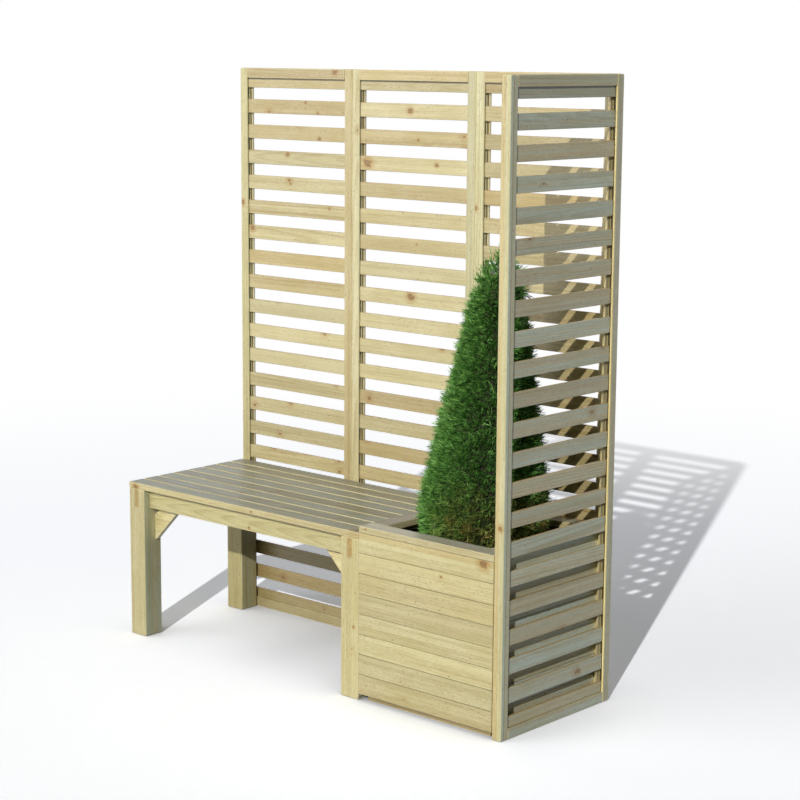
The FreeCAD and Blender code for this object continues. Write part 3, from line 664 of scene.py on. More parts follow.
bench = {"leg_front_left": "ZXY", "leg_front_right": "ZXY", "leg_rear_left": "ZXY", "leg_rear_right": "ZXY",
         "front_apron": "XZY", "rear_apron": "XZY", "side_rail_left": "YZX", "side_rail_right": "YZX",
         "middle_bearer": "YZX", "front_braces": "XZY", "rear_braces": "XZY"}
for step, (name, order) in enumerate(bench.items()):
    finish_board(name, order, 301.1 + 3 * step, tones=BENCH_TONES, knots=0.3,
                 coat=0.0 if "rear" in name else 0.5)
for step in range(SEAT_BOARDS):
    finish_board(f"seat_board_{step + 1}", "XYZ", 401.9 + 3 * step, edge=(2.6 * MM, PALE_EDGE), top=SEAT_TOP_PAINTED_LIGHT,
                 tones=SEAT_TONES, knots=0.7, coat=0.12)
print("bench finished,", len(bench) + SEAT_BOARDS, "nodes")

# %% [markdown]
# ## Planter boards
# Each wall is a stack of boards in one node, and a thin grey edge draws the groove between two of them. The
# rim is four flat boards, each with top tints of its own, which are painted light and shade: lighter and
# bluer on the front board, darker on the left one. A dark strip under the rim and along the bearers' tops
# is a painted shadow, and the right wall is tinted lighter and bluer, a painted light.

# %% Planter boards
WALL_COUNT = 8
WALL_GAP = 1.1 * MM
GREY_EDGE = (0.24, 0.215, 0.145, 1)
UNDER_RIM = (0.91, 0.84, 0.73, 1)
PLANTER_TONES = (PALE, (0.660, 0.560, 0.290, 1))
RIM_TOP_PAINTED_LIGHT = {
    "front": ((1.00, 1.18, 1.90, 1), (1.06, 1.12, 1.60, 1)),
    "back": ((0.78, 0.88, 1.20, 1), (0.84, 0.84, 1.00, 1)),
    "left": ((0.39, 0.48, 0.80, 1), (0.42, 0.455, 0.70, 1)),
    "right": ((1.00, 1.06, 1.28, 1), (1.06, 1.02, 1.10, 1)),
}

wall_pitch = (high("planter_front_boards").z - low("planter_front_boards").z + WALL_GAP) / WALL_COUNT
for step, (side, order) in enumerate((("front", "XZY"), ("back", "XZY"), ("left", "YZX"), ("right", "YZX"))):
    name, rim = f"planter_{side}_boards", f"planter_rim_{side}"
    front, wall_top, rim_foot = side == "front", high(name).z, low(rim).z
    finish_board(name, order, 501.3 + 17 * step, rows=(low(name).z, wall_pitch, wall_pitch - WALL_GAP),
                 edge=(1.3 * MM, GREY_EDGE), tones=PLANTER_TONES, knots=0.3, coat=0.5 if front else 0.0,
                 stripes=((2, wall_top - 17 * MM, wall_top, UNDER_RIM),) if front else ())
    # The rim's top tints are painted light and shade, and the strip at its foot is a painted shadow between
    # the rim and the top board.
    finish_board(rim, order[0] + order[2] + order[1], 603.3 + 3 * step, edge=(2 * MM, PALE_EDGE), knots=0.5,
                 top=RIM_TOP_PAINTED_LIGHT[side], stripes=((2, rim_foot, rim_foot + 1.5 * MM, JOINT_AND_SHADE_TINT),))
for step, (name, order) in enumerate((("planter_corner_posts", "ZXY"), ("planter_bearers", "XYZ"),
                                      ("planter_floor_boards", "YXZ"))):
    top = high(name).z
    # The strip on the bearers' tops is a painted shadow under the walls.
    finish_board(name, order, 701.3 + 3 * step,
                 stripes=((2, top - 4 * MM, top, JOINT_AND_SHADE_TINT),) if name == "planter_bearers" else ())
print("planter boards finished, wall pitch", round(wall_pitch / MM, 1), "mm")

# %% [markdown]
# ## Small parts
# The screws are dull plated steel and the liner is black film. Both are mostly hidden, so each has a short
# material of its own with a little variation.

# %% Steel and film


def plain_material(name, colour, second, scale, rough, metallic=0.0, bump_depth=0.2 * MM):
    """A surface of two close tones in fine noise, with the same noise as relief."""
    material, tree, shader = new_material(name)
    here = node(tree, "ShaderNodeTexCoord")
    grain = node(tree, "ShaderNodeTexNoise", {"Vector": here.outputs["Object"], "Scale": scale,
                                              "Detail": 4.0})
    tree.links.new(mixed(tree, grain.outputs["Fac"], colour, second), shader.inputs["Base Color"])
    tree.links.new(spread(tree, grain.outputs["Fac"], 0.3, 0.7, rough - 0.08, rough + 0.08),
                   shader.inputs["Roughness"])
    bump = node(tree, "ShaderNodeBump", {"Height": grain.outputs["Fac"], "Strength": 0.5,
                                         "Distance": bump_depth})
    tree.links.new(bump.outputs["Normal"], shader.inputs["Normal"])
    shader.inputs["Metallic"].default_value = metallic
    return material


steel = plain_material("plated_steel", (0.42, 0.42, 0.38, 1), (0.30, 0.30, 0.27, 1), 900.0, 0.42, 1.0)
film = plain_material("liner_film", (0.045, 0.045, 0.044, 1), (0.075, 0.075, 0.073, 1), 60.0, 0.45,
                      bump_depth=1.5 * MM)
bark = plain_material("bark", (0.14, 0.085, 0.05, 1), (0.05, 0.03, 0.02, 1), 140.0, 0.85, bump_depth=2 * MM)
finish_node("panel_screws", steel)
finish_node("planter_screws", steel)
finish_node("planter_liner", film)
finish_node("conifer_trunk", bark)
print("small parts finished")

# %% [markdown]
# ## Mesh making
# New pieces are worked out as whole arrays of corners and faces. `add_piece` puts the arrays straight into
# a mesh, which stays quick for hundreds of thousands of faces, and hands the piece to the body it rides on.

# %% Piece helper


def add_piece(name, corners, faces, material, slot_name, smooth=False):
    """A mesh object from an array of corners and an array of faces with equal corner counts."""
    mesh = bpy.data.meshes.new(name)
    count, size = faces.shape
    mesh.vertices.add(len(corners))
    mesh.vertices.foreach_set("co", np.asarray(corners, np.float32).ravel())
    mesh.loops.add(count * size)
    mesh.loops.foreach_set("vertex_index", np.asarray(faces, np.int32).ravel())
    mesh.polygons.add(count)
    mesh.polygons.foreach_set("loop_start", np.arange(0, count * size, size, dtype=np.int32))
    mesh.polygons.foreach_set("use_smooth", np.full(count, smooth))
    mesh.update(calc_edges=True)
    mesh.validate()
    mesh.materials.append(material)
    piece = bpy.data.objects.new(name, mesh)
    bpy.context.scene.collection.objects.link(piece)
    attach(piece, "root")
    return piece


def corner_values(piece, name, values):
    """Stores one number for each corner of a mesh, for its material to read."""
    layer = piece.data.attributes.new(name, "FLOAT", "POINT")
    layer.data.foreach_set("value", np.ascontiguousarray(values, np.float32).ravel())


print("mesh helper ready")

# %% [markdown]
# ## The conifer
# A young conifer is a dense skin of fine sprigs over a dark inside. Each sprig here is a short stem with
# narrow leaves left and right of it and one at its end, and it points outwards and up. Tens of thousands of
# sprigs are set along the outline of a blunt cone that leans a little, as the construction's cone does.
# A particle system could scatter one sprig mesh, but whole arrays give every sprig a bend and a tone of its
# own, and the lean is a single turn of all the arrays at the end.

# %% Plant frame and outline
PLANT_FOOT = np.array([484.0, -16.0, 455.0]) * MM
LEAN = math.radians(3.1)
LEAN_HEADING = math.radians(41.8)
OUTLINE_RADII = np.array([110.0, 166.0, 181.0, 173.0, 74.0, 60.0, 38.0, 0.0]) * MM
OUTLINE_HEIGHTS = np.array([17.0, 17.0, 100.0, 175.0, 720.0, 790.0, 830.0, 848.0]) * MM

lean_axis = Vector((math.sin(LEAN) * math.cos(LEAN_HEADING), math.sin(LEAN) * math.sin(LEAN_HEADING),
                    math.cos(LEAN)))
LEAN_TURN = np.array(Vector((0, 0, 1)).rotation_difference(lean_axis).to_matrix())


def leaned(places):
    """Places of the upright plant, with its foot at zero, brought to the leaning plant in the planter."""
    return places @ LEAN_TURN.T + PLANT_FOOT


def unit(vectors):
    """Vectors brought to length one."""
    return vectors / np.linalg.norm(vectors, axis=-1, keepdims=True)


def lumps(angle, z):
    """Slow bulges of the surface, a sum of waves round and up the cone, from -1 to 1."""
    return (np.sin(3 * angle + 9 * z) + np.sin(5 * angle - 17 * z + 1.7) + np.sin(2 * angle + 31 * z + 0.6)
            + 0.7 * np.sin(9 * angle + 43 * z)) / 3.7


outline_runs = np.hypot(np.diff(OUTLINE_RADII), np.diff(OUTLINE_HEIGHTS))
outline_length = np.concatenate([[0], np.cumsum(outline_runs)])
print("outline", round(outline_length[-1], 3), "m long")

# %% [markdown]
# A sprig's seat is drawn along the outline, more often where the ring is wide, so every patch of skin gets
# its share, and thinned out towards the crown. The outline's own slope gives the way out of the surface.
# The sprig's tip is set first, a few millimetres over or under the skin, and its foot lies back from there,
# inside the plant. A few longer wisps are added, which stand out of the clipped shape.

# %% Sprig layout
SPRIGS = 23000
WISPS = 150
SPRIG_LENGTH = 27 * MM


def sprig_layout(count, stream):
    """Tip, direction, length, place on the cone and depth of each sprig."""
    run = stream.uniform(0, outline_length[-1], count * 4)
    share = np.interp(run, outline_length, OUTLINE_RADII) / OUTLINE_RADII.max() + 0.02
    share *= np.interp(np.interp(run, outline_length, OUTLINE_HEIGHTS), [0.70, 0.76, 0.84], [1.0, 0.42, 0.10])
    run = run[stream.uniform(0, 1, count * 4) < share][:count]
    part = np.clip(np.searchsorted(outline_length, run) - 1, 0, len(outline_runs) - 1)
    radius = np.interp(run, outline_length, OUTLINE_RADII)
    height = np.interp(run, outline_length, OUTLINE_HEIGHTS)
    out_slope = (np.diff(OUTLINE_HEIGHTS) / outline_runs)[part]
    up_slope = (-np.diff(OUTLINE_RADII) / outline_runs)[part]
    angle = stream.uniform(0, 2 * np.pi, len(run))
    around = np.stack([np.cos(angle), np.sin(angle), np.zeros(len(run))], 1)
    up = np.array([0, 0, 1.0])
    normal = around * out_slope[:, None] + up * up_slope[:, None]
    depth = stream.uniform(0, 1, len(run)) ** 1.5
    over = 3 * MM - depth * 26 * MM + stream.normal(0, 2.2 * MM, len(run)) + 4 * MM * lumps(angle, height)
    over += np.where(stream.uniform(0, 1, len(run)) < 0.25, stream.uniform(2, 18, len(run)) * MM, 0.0)
    tip = around * radius[:, None] + up * height[:, None] + normal * over[:, None]
    crown = np.clip((height - 0.70) / 0.14, 0, 1)[:, None]
    skirt = np.clip((0.05 - height) / 0.04, 0, 1)[:, None]
    direction = unit(normal * (0.9 - 0.3 * crown) + around * (0.25 + 0.5 * skirt)
                     + up * (0.30 + 0.30 * crown - 0.34 * skirt) + stream.normal(0, 0.30, (len(run), 3)))
    length = SPRIG_LENGTH * stream.uniform(0.6, 1.25, len(run))
    return tip, direction, length, height, angle, depth


def wisp_layout(count, stream):
    """A few long thin sprigs that stand out of the crown and the flanks."""
    height = np.where(stream.uniform(0, 1, count) < 0.55, stream.uniform(0.75, 0.85, count),
                      stream.uniform(0.05, 0.80, count))
    radius = np.interp(height, OUTLINE_HEIGHTS[1:], OUTLINE_RADII[1:])
    angle = stream.uniform(0, 2 * np.pi, count)
    around = np.stack([np.cos(angle), np.sin(angle), np.zeros(count)], 1)
    up = np.array([0, 0, 1.0])
    crown = np.clip((height - 0.72) / 0.06, 0, 1)[:, None]
    direction = unit(around * (0.9 - 0.40 * crown) + up * (0.55 + 0.35 * crown)
                     + stream.normal(0, 0.20, (count, 3)))
    length = stream.uniform(36, 60, count) * MM
    radius = radius * np.where(crown[:, 0] > 0, stream.uniform(0.2, 1.0, count), 1.0)
    over = direction * stream.uniform(10, 22, (count, 1)) * MM
    tip = around * radius[:, None] + up * height[:, None] + over
    return tip, direction, length, height, angle, np.zeros(count)


stream = new_random(7)
layout = [np.concatenate(pair) for pair in zip(sprig_layout(SPRIGS, stream), wisp_layout(WISPS, stream))]
print(len(layout[0]), "sprigs")

# %% [markdown]
# One sprig's leaves lie near the plane of its direction and a side taken at random. A leaf is a narrow kite
# of four corners. All kites of all sprigs come from one formula: the foot of leaf k is k steps up the stem,
# the leaves lean to alternate sides, and the sprig's outer part bends up a little.

# %% Sprig meshes
LEAF_PAIRS = 3
LEAF_LENGTH = 19 * MM
LEAF_WIDTH = 2.6 * MM


def sprig_mesh(tip, direction, length, stream):
    """Corners and kite faces of sprigs: leaf pairs up the stem and one leaf at the end."""
    count = len(tip)
    side = unit(np.cross(direction, stream.normal(0, 1, (count, 3))))
    foot = tip - direction * length[:, None]
    steps = np.append(np.repeat(np.arange(LEAF_PAIRS), 2), LEAF_PAIRS)
    hand = np.append(np.tile([1.0, -1.0], LEAF_PAIRS), 0.0)
    share = (steps + 0.2) / (LEAF_PAIRS + 1.6)
    along = share[None, :, None] * length[:, None, None]
    bend = np.array([0, 0, 1.0]) * 0.12 * along ** 2 / length[:, None, None]
    root = foot[:, None] + direction[:, None] * along + bend
    lean = stream.uniform(0.28, 0.62, (count, len(steps), 1)) * hand[None, :, None]
    leaf = unit(direction[:, None] + side[:, None] * lean + stream.normal(0, 0.13, (count, len(steps), 3)))
    size = (length / SPRIG_LENGTH)[:, None, None] ** 0.5
    reach = LEAF_LENGTH * stream.uniform(0.7, 1.25, (count, len(steps), 1)) * size
    flat = np.cross(direction, side)[:, None] + stream.normal(0, 0.5, (count, len(steps), 3))
    wide = unit(np.cross(leaf, flat)) * LEAF_WIDTH / 2
    belly = root + leaf * reach * 0.4
    kites = np.stack([root, belly + wide, root + leaf * reach, belly - wide], 2)
    corners = kites.reshape(count, -1, 3)
    faces = np.arange(corners.shape[0] * corners.shape[1]).reshape(-1, 4)
    return corners, faces


print("a sprig has", 2 * LEAF_PAIRS + 1, "leaves")

# %% [markdown]
# Clipped foliage is never one green. Here it is lighter on the flank away from the side panel and darker
# beside it and deeper in the skin, which is painted light and shade; it is also mottled in clumps, and dry
# in patches near the ground. Each of these is a formula of where the sprig sits on the cone.

# %% Lightness and dryness


def leaf_lightness(height, angle, depth, stream):
    """How light a sprig's green is: lighter on the flank away from the side panel and darker beside it, a
    painted light and shadow; darker deeper in the skin, a painted shade; and mottled in clumps a few
    centimetres wide."""
    flank = 0.5 + 0.5 * np.cos(angle - math.radians(-125))
    clump = np.sin(19 * angle + 61 * height) * np.sin(23 * angle - 97 * height) + 0.6 * np.sin(
        41 * angle + 170 * height + 2) * np.sin(37 * angle - 190 * height)
    return 0.06 + 0.34 * flank + 0.05 * clump - 0.30 * depth + stream.normal(0, 0.09, len(height))


def dryness(height, angle, stream):
    """How dry a sprig is: most of all low down on the side towards the side panel's front, in patches."""
    towards = np.clip(np.cos(angle + 0.45) * 1.3, 0, 1)
    lowness = np.clip((0.24 - height) / 0.16, 0, 1)
    patch = 0.5 + 0.5 * np.sin(11 * angle + 50 * height) * np.sin(7 * angle - 70 * height)
    scattered = stream.uniform(0, 1, len(height)) < 0.007
    dry = towards * lowness * (0.3 + 0.7 * patch) * stream.uniform(0.2, 1.5, len(height)) + 0.6 * scattered
    return np.clip(dry, 0, 1)


print("freshness and dryness ready")

# %% [markdown]
# The leaves' colour comes from two numbers that each corner carries: `tone`, which holds the painted light
# and shade above and is dark at the sprig's foot and lighter at its end, with a part of its own for each
# leaf, and `dry`, which turns green to straw and brown.

# %% Foliage material


def foliage_material():
    """Green from dark to light by tone, which carries painted light and shade, turned to straw and
    brown where it is dry.
    """
    material, tree, shader = new_material("conifer_leaf")
    tone = node(tree, "ShaderNodeAttribute", {}, attribute_name="tone").outputs["Fac"]
    dry = node(tree, "ShaderNodeAttribute", {}, attribute_name="dry").outputs["Fac"]
    green = node(tree, "ShaderNodeValToRGB", {"Fac": tone})
    ramp = green.color_ramp
    ramp.elements[0].position, ramp.elements[0].color = 0.0, (0.012, 0.026, 0.008, 1)
    ramp.elements[1].position, ramp.elements[1].color = 1.0, (0.270, 0.560, 0.130, 1)
    ramp.elements.new(0.45).color = (0.070, 0.235, 0.034, 1)
    straw = mixed(tree, tone, (0.07, 0.045, 0.02, 1), (0.62, 0.50, 0.13, 1))
    tree.links.new(mixed(tree, dry, green.outputs["Color"], straw), shader.inputs["Base Color"])
    here = node(tree, "ShaderNodeTexCoord")
    mottle = node(tree, "ShaderNodeTexNoise", {"Vector": here.outputs["Object"], "Scale": 300.0})
    tree.links.new(spread(tree, mottle.outputs["Fac"], 0.3, 0.7, 0.45, 0.7), shader.inputs["Roughness"])
    bump = node(tree, "ShaderNodeBump", {"Height": mottle.outputs["Fac"], "Strength": 0.3,
                                         "Distance": 0.3 * MM})
    tree.links.new(bump.outputs["Normal"], shader.inputs["Normal"])
    return material


leaf_material = foliage_material()
print("leaf material ready")

# %% [markdown]
# The sprigs are sorted by height and cut into five bands, each a piece of its own, so that no mesh grows too
# large. Every band has its own random stream.

# %% Sprigs in bands
BANDS = 5
for band, chosen in enumerate(np.array_split(np.argsort(layout[3]), BANDS)):
    draw = new_random(100 + band)
    tip, direction, length, height, angle, depth = (values[chosen] for values in layout)
    corners, faces = sprig_mesh(tip, direction, length, draw)
    count, each = corners.shape[:2]
    foot = tip - direction * length[:, None]
    along = np.einsum("nkd,nd->nk", corners - foot[:, None], direction) / length[:, None]
    lightness = leaf_lightness(height, angle, depth, draw)
    piece = add_piece(f"conifer_sprigs_{band + 1}", leaned(corners.reshape(-1, 3)), faces, leaf_material,
                      "foliage")
    own = np.repeat(draw.normal(0, 0.22, (count, each // 4)), 4, axis=1)
    corner_values(piece, "tone", np.clip(lightness[:, None] + own + 0.34 * along, 0, 1))
    corner_values(piece, "dry", np.repeat(dryness(height, angle, draw), each))
    print(piece.name, len(faces) * 2, "triangles")

# %% [markdown]
# Behind the sprigs lies a dark body of twigs and shade. It is a surface of revolution with bulges: the
# angle runs round, the height runs up, and the radius is the outline's less the depth of the sprigs.

# %% Twig core
CORE_DEPTH = 24 * MM


def core_mesh(around, rows):
    """A closed lumpy cone inside the sprigs, on a grid of angle and height, with fans at both ends."""
    angle = np.linspace(0, 2 * np.pi, around, endpoint=False)
    z = np.linspace(OUTLINE_HEIGHTS[1] + 4 * MM, OUTLINE_HEIGHTS[-3] - 30 * MM, rows)
    a, h = np.meshgrid(angle, z)
    skin = np.interp(h, OUTLINE_HEIGHTS[1:], OUTLINE_RADII[1:])
    twigs = np.sin(41 * a + 300 * h) * np.sin(29 * a - 410 * h)
    radius = skin - CORE_DEPTH + 4 * MM * lumps(a, h) + 2.5 * MM * twigs
    radius = np.maximum(radius, 3 * MM)
    ring = np.stack([radius * np.cos(a), radius * np.sin(a), h], -1)
    corners = np.concatenate([ring.reshape(-1, 3), [[0, 0, z[0]], [0, 0, z[-1] + 4 * MM]]])
    i, j = np.meshgrid(np.arange(rows - 1), np.arange(around), indexing="ij")
    first, after = i * around + j, i * around + (j + 1) % around
    quads = np.stack([first, after, after + around, first + around], -1).reshape(-1, 4)
    j = np.arange(around)
    foot_fan = np.stack([(j + 1) % around, j, np.full(around, rows * around)], -1)
    top = (rows - 1) * around
    top_fan = np.stack([top + j, top + (j + 1) % around, np.full(around, rows * around + 1)], -1)
    halves = np.concatenate([quads[:, [0, 1, 2]], quads[:, [0, 2, 3]]])
    return leaned(corners), np.concatenate([halves, foot_fan, top_fan])


twig_shade = plain_material("twigs_in_shade", (0.020, 0.030, 0.012, 1), (0.048, 0.034, 0.020, 1), 220.0, 0.9,
                            bump_depth=4 * MM)
core = add_piece("conifer_twig_core", *core_mesh(120, 150), twig_shade, "foliage", smooth=True)
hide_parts("conifer_foliage")
print("twig core", len(core.data.polygons), "faces")

# %% [markdown]
# ## Compost
# The planting mix is a crumbly surface a little below the rim. It is a fine grid over the planter's inside
# whose height is a sum of noises worked out with numpy. It leaves out the corners where the posts stand, and
# its outer edge drops straight down, so that no gap shows against the liner.

# %% Compost surface


def value_noise(x, y, cell, seed):
    """Smooth noise from 0 to 1: random numbers on a lattice, eased between its points."""
    table = new_random(seed).uniform(0, 1, (LATTICE, LATTICE))
    gx, gy = x / cell, y / cell
    i, j = np.floor(gx).astype(int), np.floor(gy).astype(int)
    u, v = gx - i, gy - j
    u, v = u * u * (3 - 2 * u), v * v * (3 - 2 * v)
    i, j = i % LATTICE, j % LATTICE
    i1, j1 = (i + 1) % LATTICE, (j + 1) % LATTICE
    return ((table[i, j] * (1 - u) + table[i1, j] * u) * (1 - v)
            + (table[i, j1] * (1 - u) + table[i1, j1] * u) * v)


COMPOST_GRID = 200
LATTICE = 64
COMPOST_SINK = 12 * MM
SKIRT_DROP = 100 * MM
POST_SIDE = 45 * MM


def compost_mesh(grid):
    """A grid over the planter's inside, notched round the posts: a sum of noises, folded down at its edge."""
    (x0, y0, _), (x1, y1, top) = low("compost"), high("compost")
    x = np.linspace(x0, x1, grid)
    y = np.linspace(y0, y1, grid)
    gx, gy = np.meshgrid(x, y, indexing="ij")
    relief = (9 * value_noise(gx, gy, 0.045, 3) + 5 * value_noise(gx, gy, 0.014, 4)
              + 3.5 * value_noise(gx, gy, 0.006, 5)) * MM
    z = top - COMPOST_SINK + relief
    skirt = np.zeros_like(z, bool)
    skirt[[0, -1]] = True
    skirt[:, [0, -1]] = True
    z[skirt] = top - SKIRT_DROP
    corners = np.stack([gx, gy, z], -1).reshape(-1, 3)
    i, j = np.meshgrid(np.arange(grid - 1), np.arange(grid - 1), indexing="ij")
    quads = np.stack([i * grid + j, (i + 1) * grid + j, (i + 1) * grid + j + 1, i * grid + j + 1], -1)
    middle_x, middle_y = (x[:-1] + x[1:]) / 2, (y[:-1] + y[1:]) / 2
    mx, my = np.meshgrid(middle_x, middle_y, indexing="ij")
    in_post = (np.minimum(mx - x0, x1 - mx) < POST_SIDE) & (np.minimum(my - y0, y1 - my) < POST_SIDE)
    return corners, quads[~in_post]


soil = plain_material("compost", (0.035, 0.022, 0.014, 1), (0.11, 0.072, 0.045, 1), 420.0, 0.95,
                      bump_depth=3 * MM)
compost = add_piece("compost_surface", *compost_mesh(COMPOST_GRID), soil, "compost")
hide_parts("compost")
print("compost", len(compost.data.polygons), "faces")

# %% [markdown]
# The liner is film that is turned over once at its edge, which makes a soft rounded hem just under the rim.
# A ring of corners is set about every centimetre of the way round the inside and its posts, upright and
# square to the way, and each ring is joined to the next. Waves of less than a millimetre make it look limp.
# The tube's middle is only a millimetre inside the liner's edge, so its outer side is sunk in the walls and
# posts by about two millimetres. Moved in by its own radius, it would lie against them instead.

# %% Liner hem
HEM_RADIUS = 2.8 * MM
HEM_SIDES = 8
HEM_STEP = 12 * MM


def hem_mesh():
    """A tube along the liner's top edge: its way in turn, and round each point of it a ring of corners."""
    (x0, y0, _), (x1, y1, top) = low("planter_liner"), high("planter_liner")
    left, right, front, back = x0 + POST_SIDE, x1 - POST_SIDE, y0 + POST_SIDE, y1 - POST_SIDE
    turns = np.array([(left, y0), (right, y0), (right, front), (x1, front), (x1, back), (right, back),
                      (right, y1), (left, y1), (left, back), (x0, back), (x0, front), (left, front)])
    legs = np.roll(turns, -1, axis=0) - turns
    ahead = unit(legs)
    inward = np.stack([-ahead[:, 1], ahead[:, 0]], 1)
    mitre = inward + np.roll(inward, 1, axis=0)
    counts = np.maximum(np.round(np.linalg.norm(legs, axis=1) / HEM_STEP).astype(int), 2)
    leg = np.repeat(np.arange(len(turns)), counts)
    share = (np.arange(len(leg)) - np.repeat(np.cumsum(counts) - counts, counts)) / counts[leg]
    out = np.where((share == 0)[:, None], mitre[leg], inward[leg])
    run = np.arange(len(leg)) * HEM_STEP
    sway = 0.5 * MM * np.sin(run * 37) * np.minimum(share, 1 - share) * 2
    middle = turns[leg] + legs[leg] * share[:, None] + out * (1 * MM + sway)[:, None]
    angle = np.linspace(0, 2 * np.pi, HEM_SIDES, endpoint=False)
    flat = middle[:, None] + out[:, None] * (np.cos(angle) * HEM_RADIUS)[None, :, None]
    z = top + np.sin(angle) * HEM_RADIUS + 0.7 * MM * np.sin(run * 23 + 1)[:, None]
    corners = np.concatenate([flat, z[:, :, None]], -1).reshape(-1, 3)
    i, j = np.meshgrid(np.arange(len(leg)), np.arange(HEM_SIDES), indexing="ij")
    after, beside = (i + 1) % len(leg), (j + 1) % HEM_SIDES
    faces = np.stack([i * HEM_SIDES + beside, after * HEM_SIDES + beside, after * HEM_SIDES + j,
                      i * HEM_SIDES + j], -1)
    return corners, faces.reshape(-1, 4)


# The hem is pale grey, far lighter than the black film: a painted highlight, so that its line shows in the
# planter's shade.
hem_film_highlight = plain_material("hem_film_highlight", (0.46, 0.46, 0.45, 1), (0.60, 0.60, 0.59, 1), 90.0, 0.38,
                          bump_depth=0.5 * MM)
hem = add_piece("liner_hem", *hem_mesh(), hem_film_highlight, "liner", smooth=True)
print("hem", len(hem.data.polygons), "faces")

# %% [markdown]
# ## Camera
# The camera was solved from edges of the bench in the photograph: a long lens, seen from the front right
# and a little above. Its turn is built from three directions: ahead, to the right and up.

# %% Camera
CAMERA_PLACE = Vector((4.0222, -4.3324, 1.8591))
YAW, PITCH, ROLL = math.radians(41.773), math.radians(-9.938), math.radians(0.398)
FOCAL_PIXELS = 1995.5
PHOTO_WIDTH = 800

ahead = Vector((-math.sin(YAW) * math.cos(PITCH), math.cos(YAW) * math.cos(PITCH), math.sin(PITCH)))
right = Vector((math.cos(YAW), math.sin(YAW), 0))
above = right.cross(ahead)
camera_x = right * math.cos(ROLL) + above * math.sin(ROLL)
camera_y = above * math.cos(ROLL) - right * math.sin(ROLL)
camera_data = bpy.data.cameras.new("camera")
camera_data.sensor_width = 36
camera_data.lens = FOCAL_PIXELS / PHOTO_WIDTH * camera_data.sensor_width
camera_data.clip_end = 100
camera = bpy.data.objects.new("camera", camera_data)
turn = Matrix((camera_x, camera_y, -ahead)).transposed().to_4x4()
camera.matrix_world = Matrix.Translation(CAMERA_PLACE) @ turn
bpy.context.scene.collection.objects.link(camera)
bpy.context.scene.camera = camera
print("lens", round(camera_data.lens, 1), "mm")

# %% [markdown]
# ## Light and floor
# The key lamp stands to the front right, and its light is sharp enough to draw the slats' shadows. A broad
# fill lamp from the front left lifts the front faces, so the faces that look to the right stay about half as
# light, as in the photograph. The world adds a little cool light from everywhere.

# %% Lamps and world


def sun_lamp(name, travel, energy, spread_degrees, colour):
    """A far lamp whose light travels in a given direction; a wider lamp has softer shadows."""
    data = bpy.data.lights.new(name, "SUN")
    data.energy = energy
    data.angle = math.radians(spread_degrees)
    data.color = colour
    lamp = bpy.data.objects.new(name, data)
    lamp.rotation_mode = "QUATERNION"
    lamp.rotation_quaternion = Vector(travel).to_track_quat("-Z", "Y")
    bpy.context.scene.collection.objects.link(lamp)


sun_lamp("key", (-0.386, 0.805, -0.457), 2.30, 0.65, (1.0, 0.97, 0.91))
sun_lamp("fill", (0.52, 0.83, -0.20), 1.20, 50.0, (1.0, 0.99, 0.96))

world = bpy.data.worlds.new("studio")
bpy.context.scene.world = world
world.use_nodes = True
sky = world.node_tree
sky.nodes.clear()
path = node(sky, "ShaderNodeLightPath")
seen = maths(sky, "MAXIMUM", path.outputs["Is Camera Ray"], path.outputs["Is Glossy Ray"])
seen = maths(sky, "MAXIMUM", seen, path.outputs["Is Transmission Ray"])
around = node(sky, "ShaderNodeBackground", {"Color": (0.84, 0.93, 1.0, 1), "Strength": 0.05})
white = node(sky, "ShaderNodeBackground", {"Color": (1, 1, 1, 1), "Strength": 1.0})
both = node(sky, "ShaderNodeMixShader", {0: seen, 1: around.outputs[0], 2: white.outputs[0]})
node(sky, "ShaderNodeOutputWorld", {"Surface": both.outputs[0]})
print("lights ready")

# %% [markdown]
# The floor is pale to the camera: a pale surface, added twice and lifted by a glow, that fades to plain white
# further out. So the background is white without more light on the bench, and the bench's shadow stays. To
# light that bounces it is rather dark, so that little of it comes back on the bench. Where something stands
# close, two occlusion nodes darken it, which gives the soft dark patch that pieces have at their feet.

# %% Floor
FLOOR_HALF = 30.0
FLOOR_COLOUR = (0.20, 0.205, 0.215, 1)
SEEN_COLOUR = (0.745, 0.775, 0.84, 1)
SEEN_IN_SHADE = (0.36, 0.38, 0.43, 1)
SEEN_GLOW = 0.23
FADE_START, FADE_STOP = 1.8, 5.5


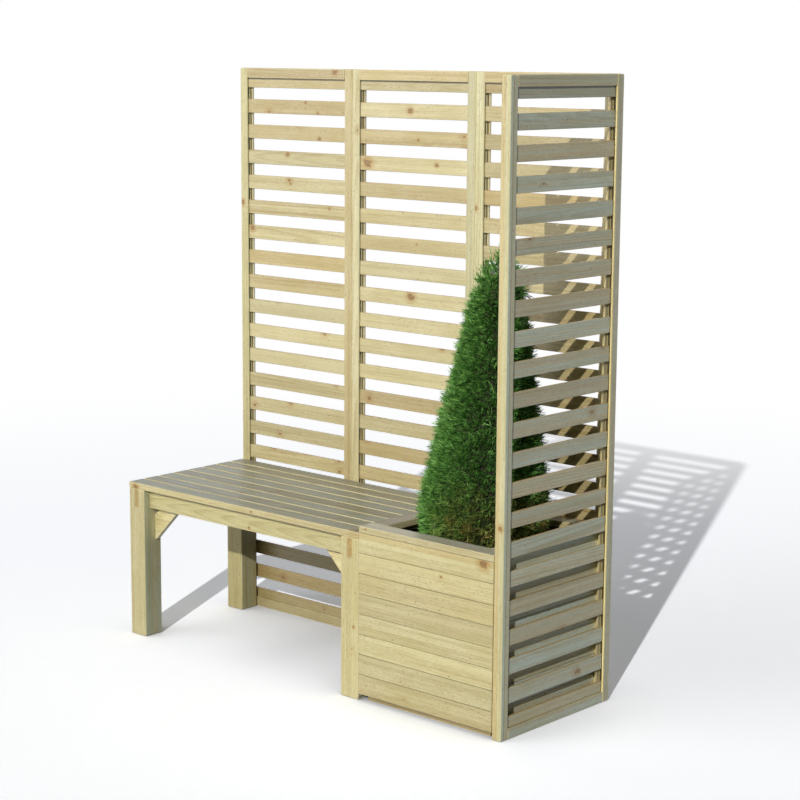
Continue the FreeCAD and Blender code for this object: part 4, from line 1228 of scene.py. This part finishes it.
def floor_material():
    """Matte to the light; pale to the camera, darker near the pieces, and plain white further out."""
    material, tree, _ = new_material("pale_floor")
    tree.nodes.clear()
    here = node(tree, "ShaderNodeTexCoord").outputs["Object"]
    distance = node(tree, "ShaderNodeVectorMath", {0: here}, operation="LENGTH").outputs["Value"]
    path = node(tree, "ShaderNodeLightPath")
    seen = maths(tree, "MAXIMUM", path.outputs["Is Camera Ray"], path.outputs["Is Glossy Ray"])
    wide = node(tree, "ShaderNodeAmbientOcclusion", {"Distance": 0.7}, samples=16).outputs["AO"]
    close = node(tree, "ShaderNodeAmbientOcclusion", {"Distance": 0.25}, samples=16).outputs["AO"]
    openness = spread(tree, wide, 0.0, 0.75)
    shaded = mixed(tree, times(tree, openness, close), SEEN_IN_SHADE, SEEN_COLOUR)
    matte = node(tree, "ShaderNodeBsdfDiffuse", {"Color": FLOOR_COLOUR}).outputs[0]
    pale = node(tree, "ShaderNodeBsdfDiffuse", {"Color": shaded}).outputs[0]
    doubled = node(tree, "ShaderNodeAddShader", {0: pale, 1: pale}).outputs[0]
    glow = node(tree, "ShaderNodeEmission", {"Color": WHITE, "Strength": times(tree, openness, SEEN_GLOW)})
    lifted = node(tree, "ShaderNodeAddShader", {0: doubled, 1: glow.outputs[0]}).outputs[0]
    white = node(tree, "ShaderNodeEmission", {"Color": WHITE, "Strength": 1.0}).outputs[0]
    fade = spread(tree, distance, FADE_START, FADE_STOP)
    far = node(tree, "ShaderNodeMixShader", {0: fade, 1: lifted, 2: white}).outputs[0]
    surface = node(tree, "ShaderNodeMixShader", {0: seen, 1: matte, 2: far}).outputs[0]
    node(tree, "ShaderNodeOutputMaterial", {"Surface": surface})
    return material


floor_mesh = bpy.data.meshes.new("floor")
floor_mesh.from_pydata([(-FLOOR_HALF, -FLOOR_HALF, 0), (FLOOR_HALF, -FLOOR_HALF, 0),
                        (FLOOR_HALF, FLOOR_HALF, 0), (-FLOOR_HALF, FLOOR_HALF, 0)], [], [(0, 1, 2, 3)])
floor_mesh.materials.append(floor_material())
floor = bpy.data.objects.new("floor", floor_mesh)
bpy.context.scene.collection.objects.link(floor)
bpy.context.scene.view_settings.view_transform = "Standard"
print("floor ready")
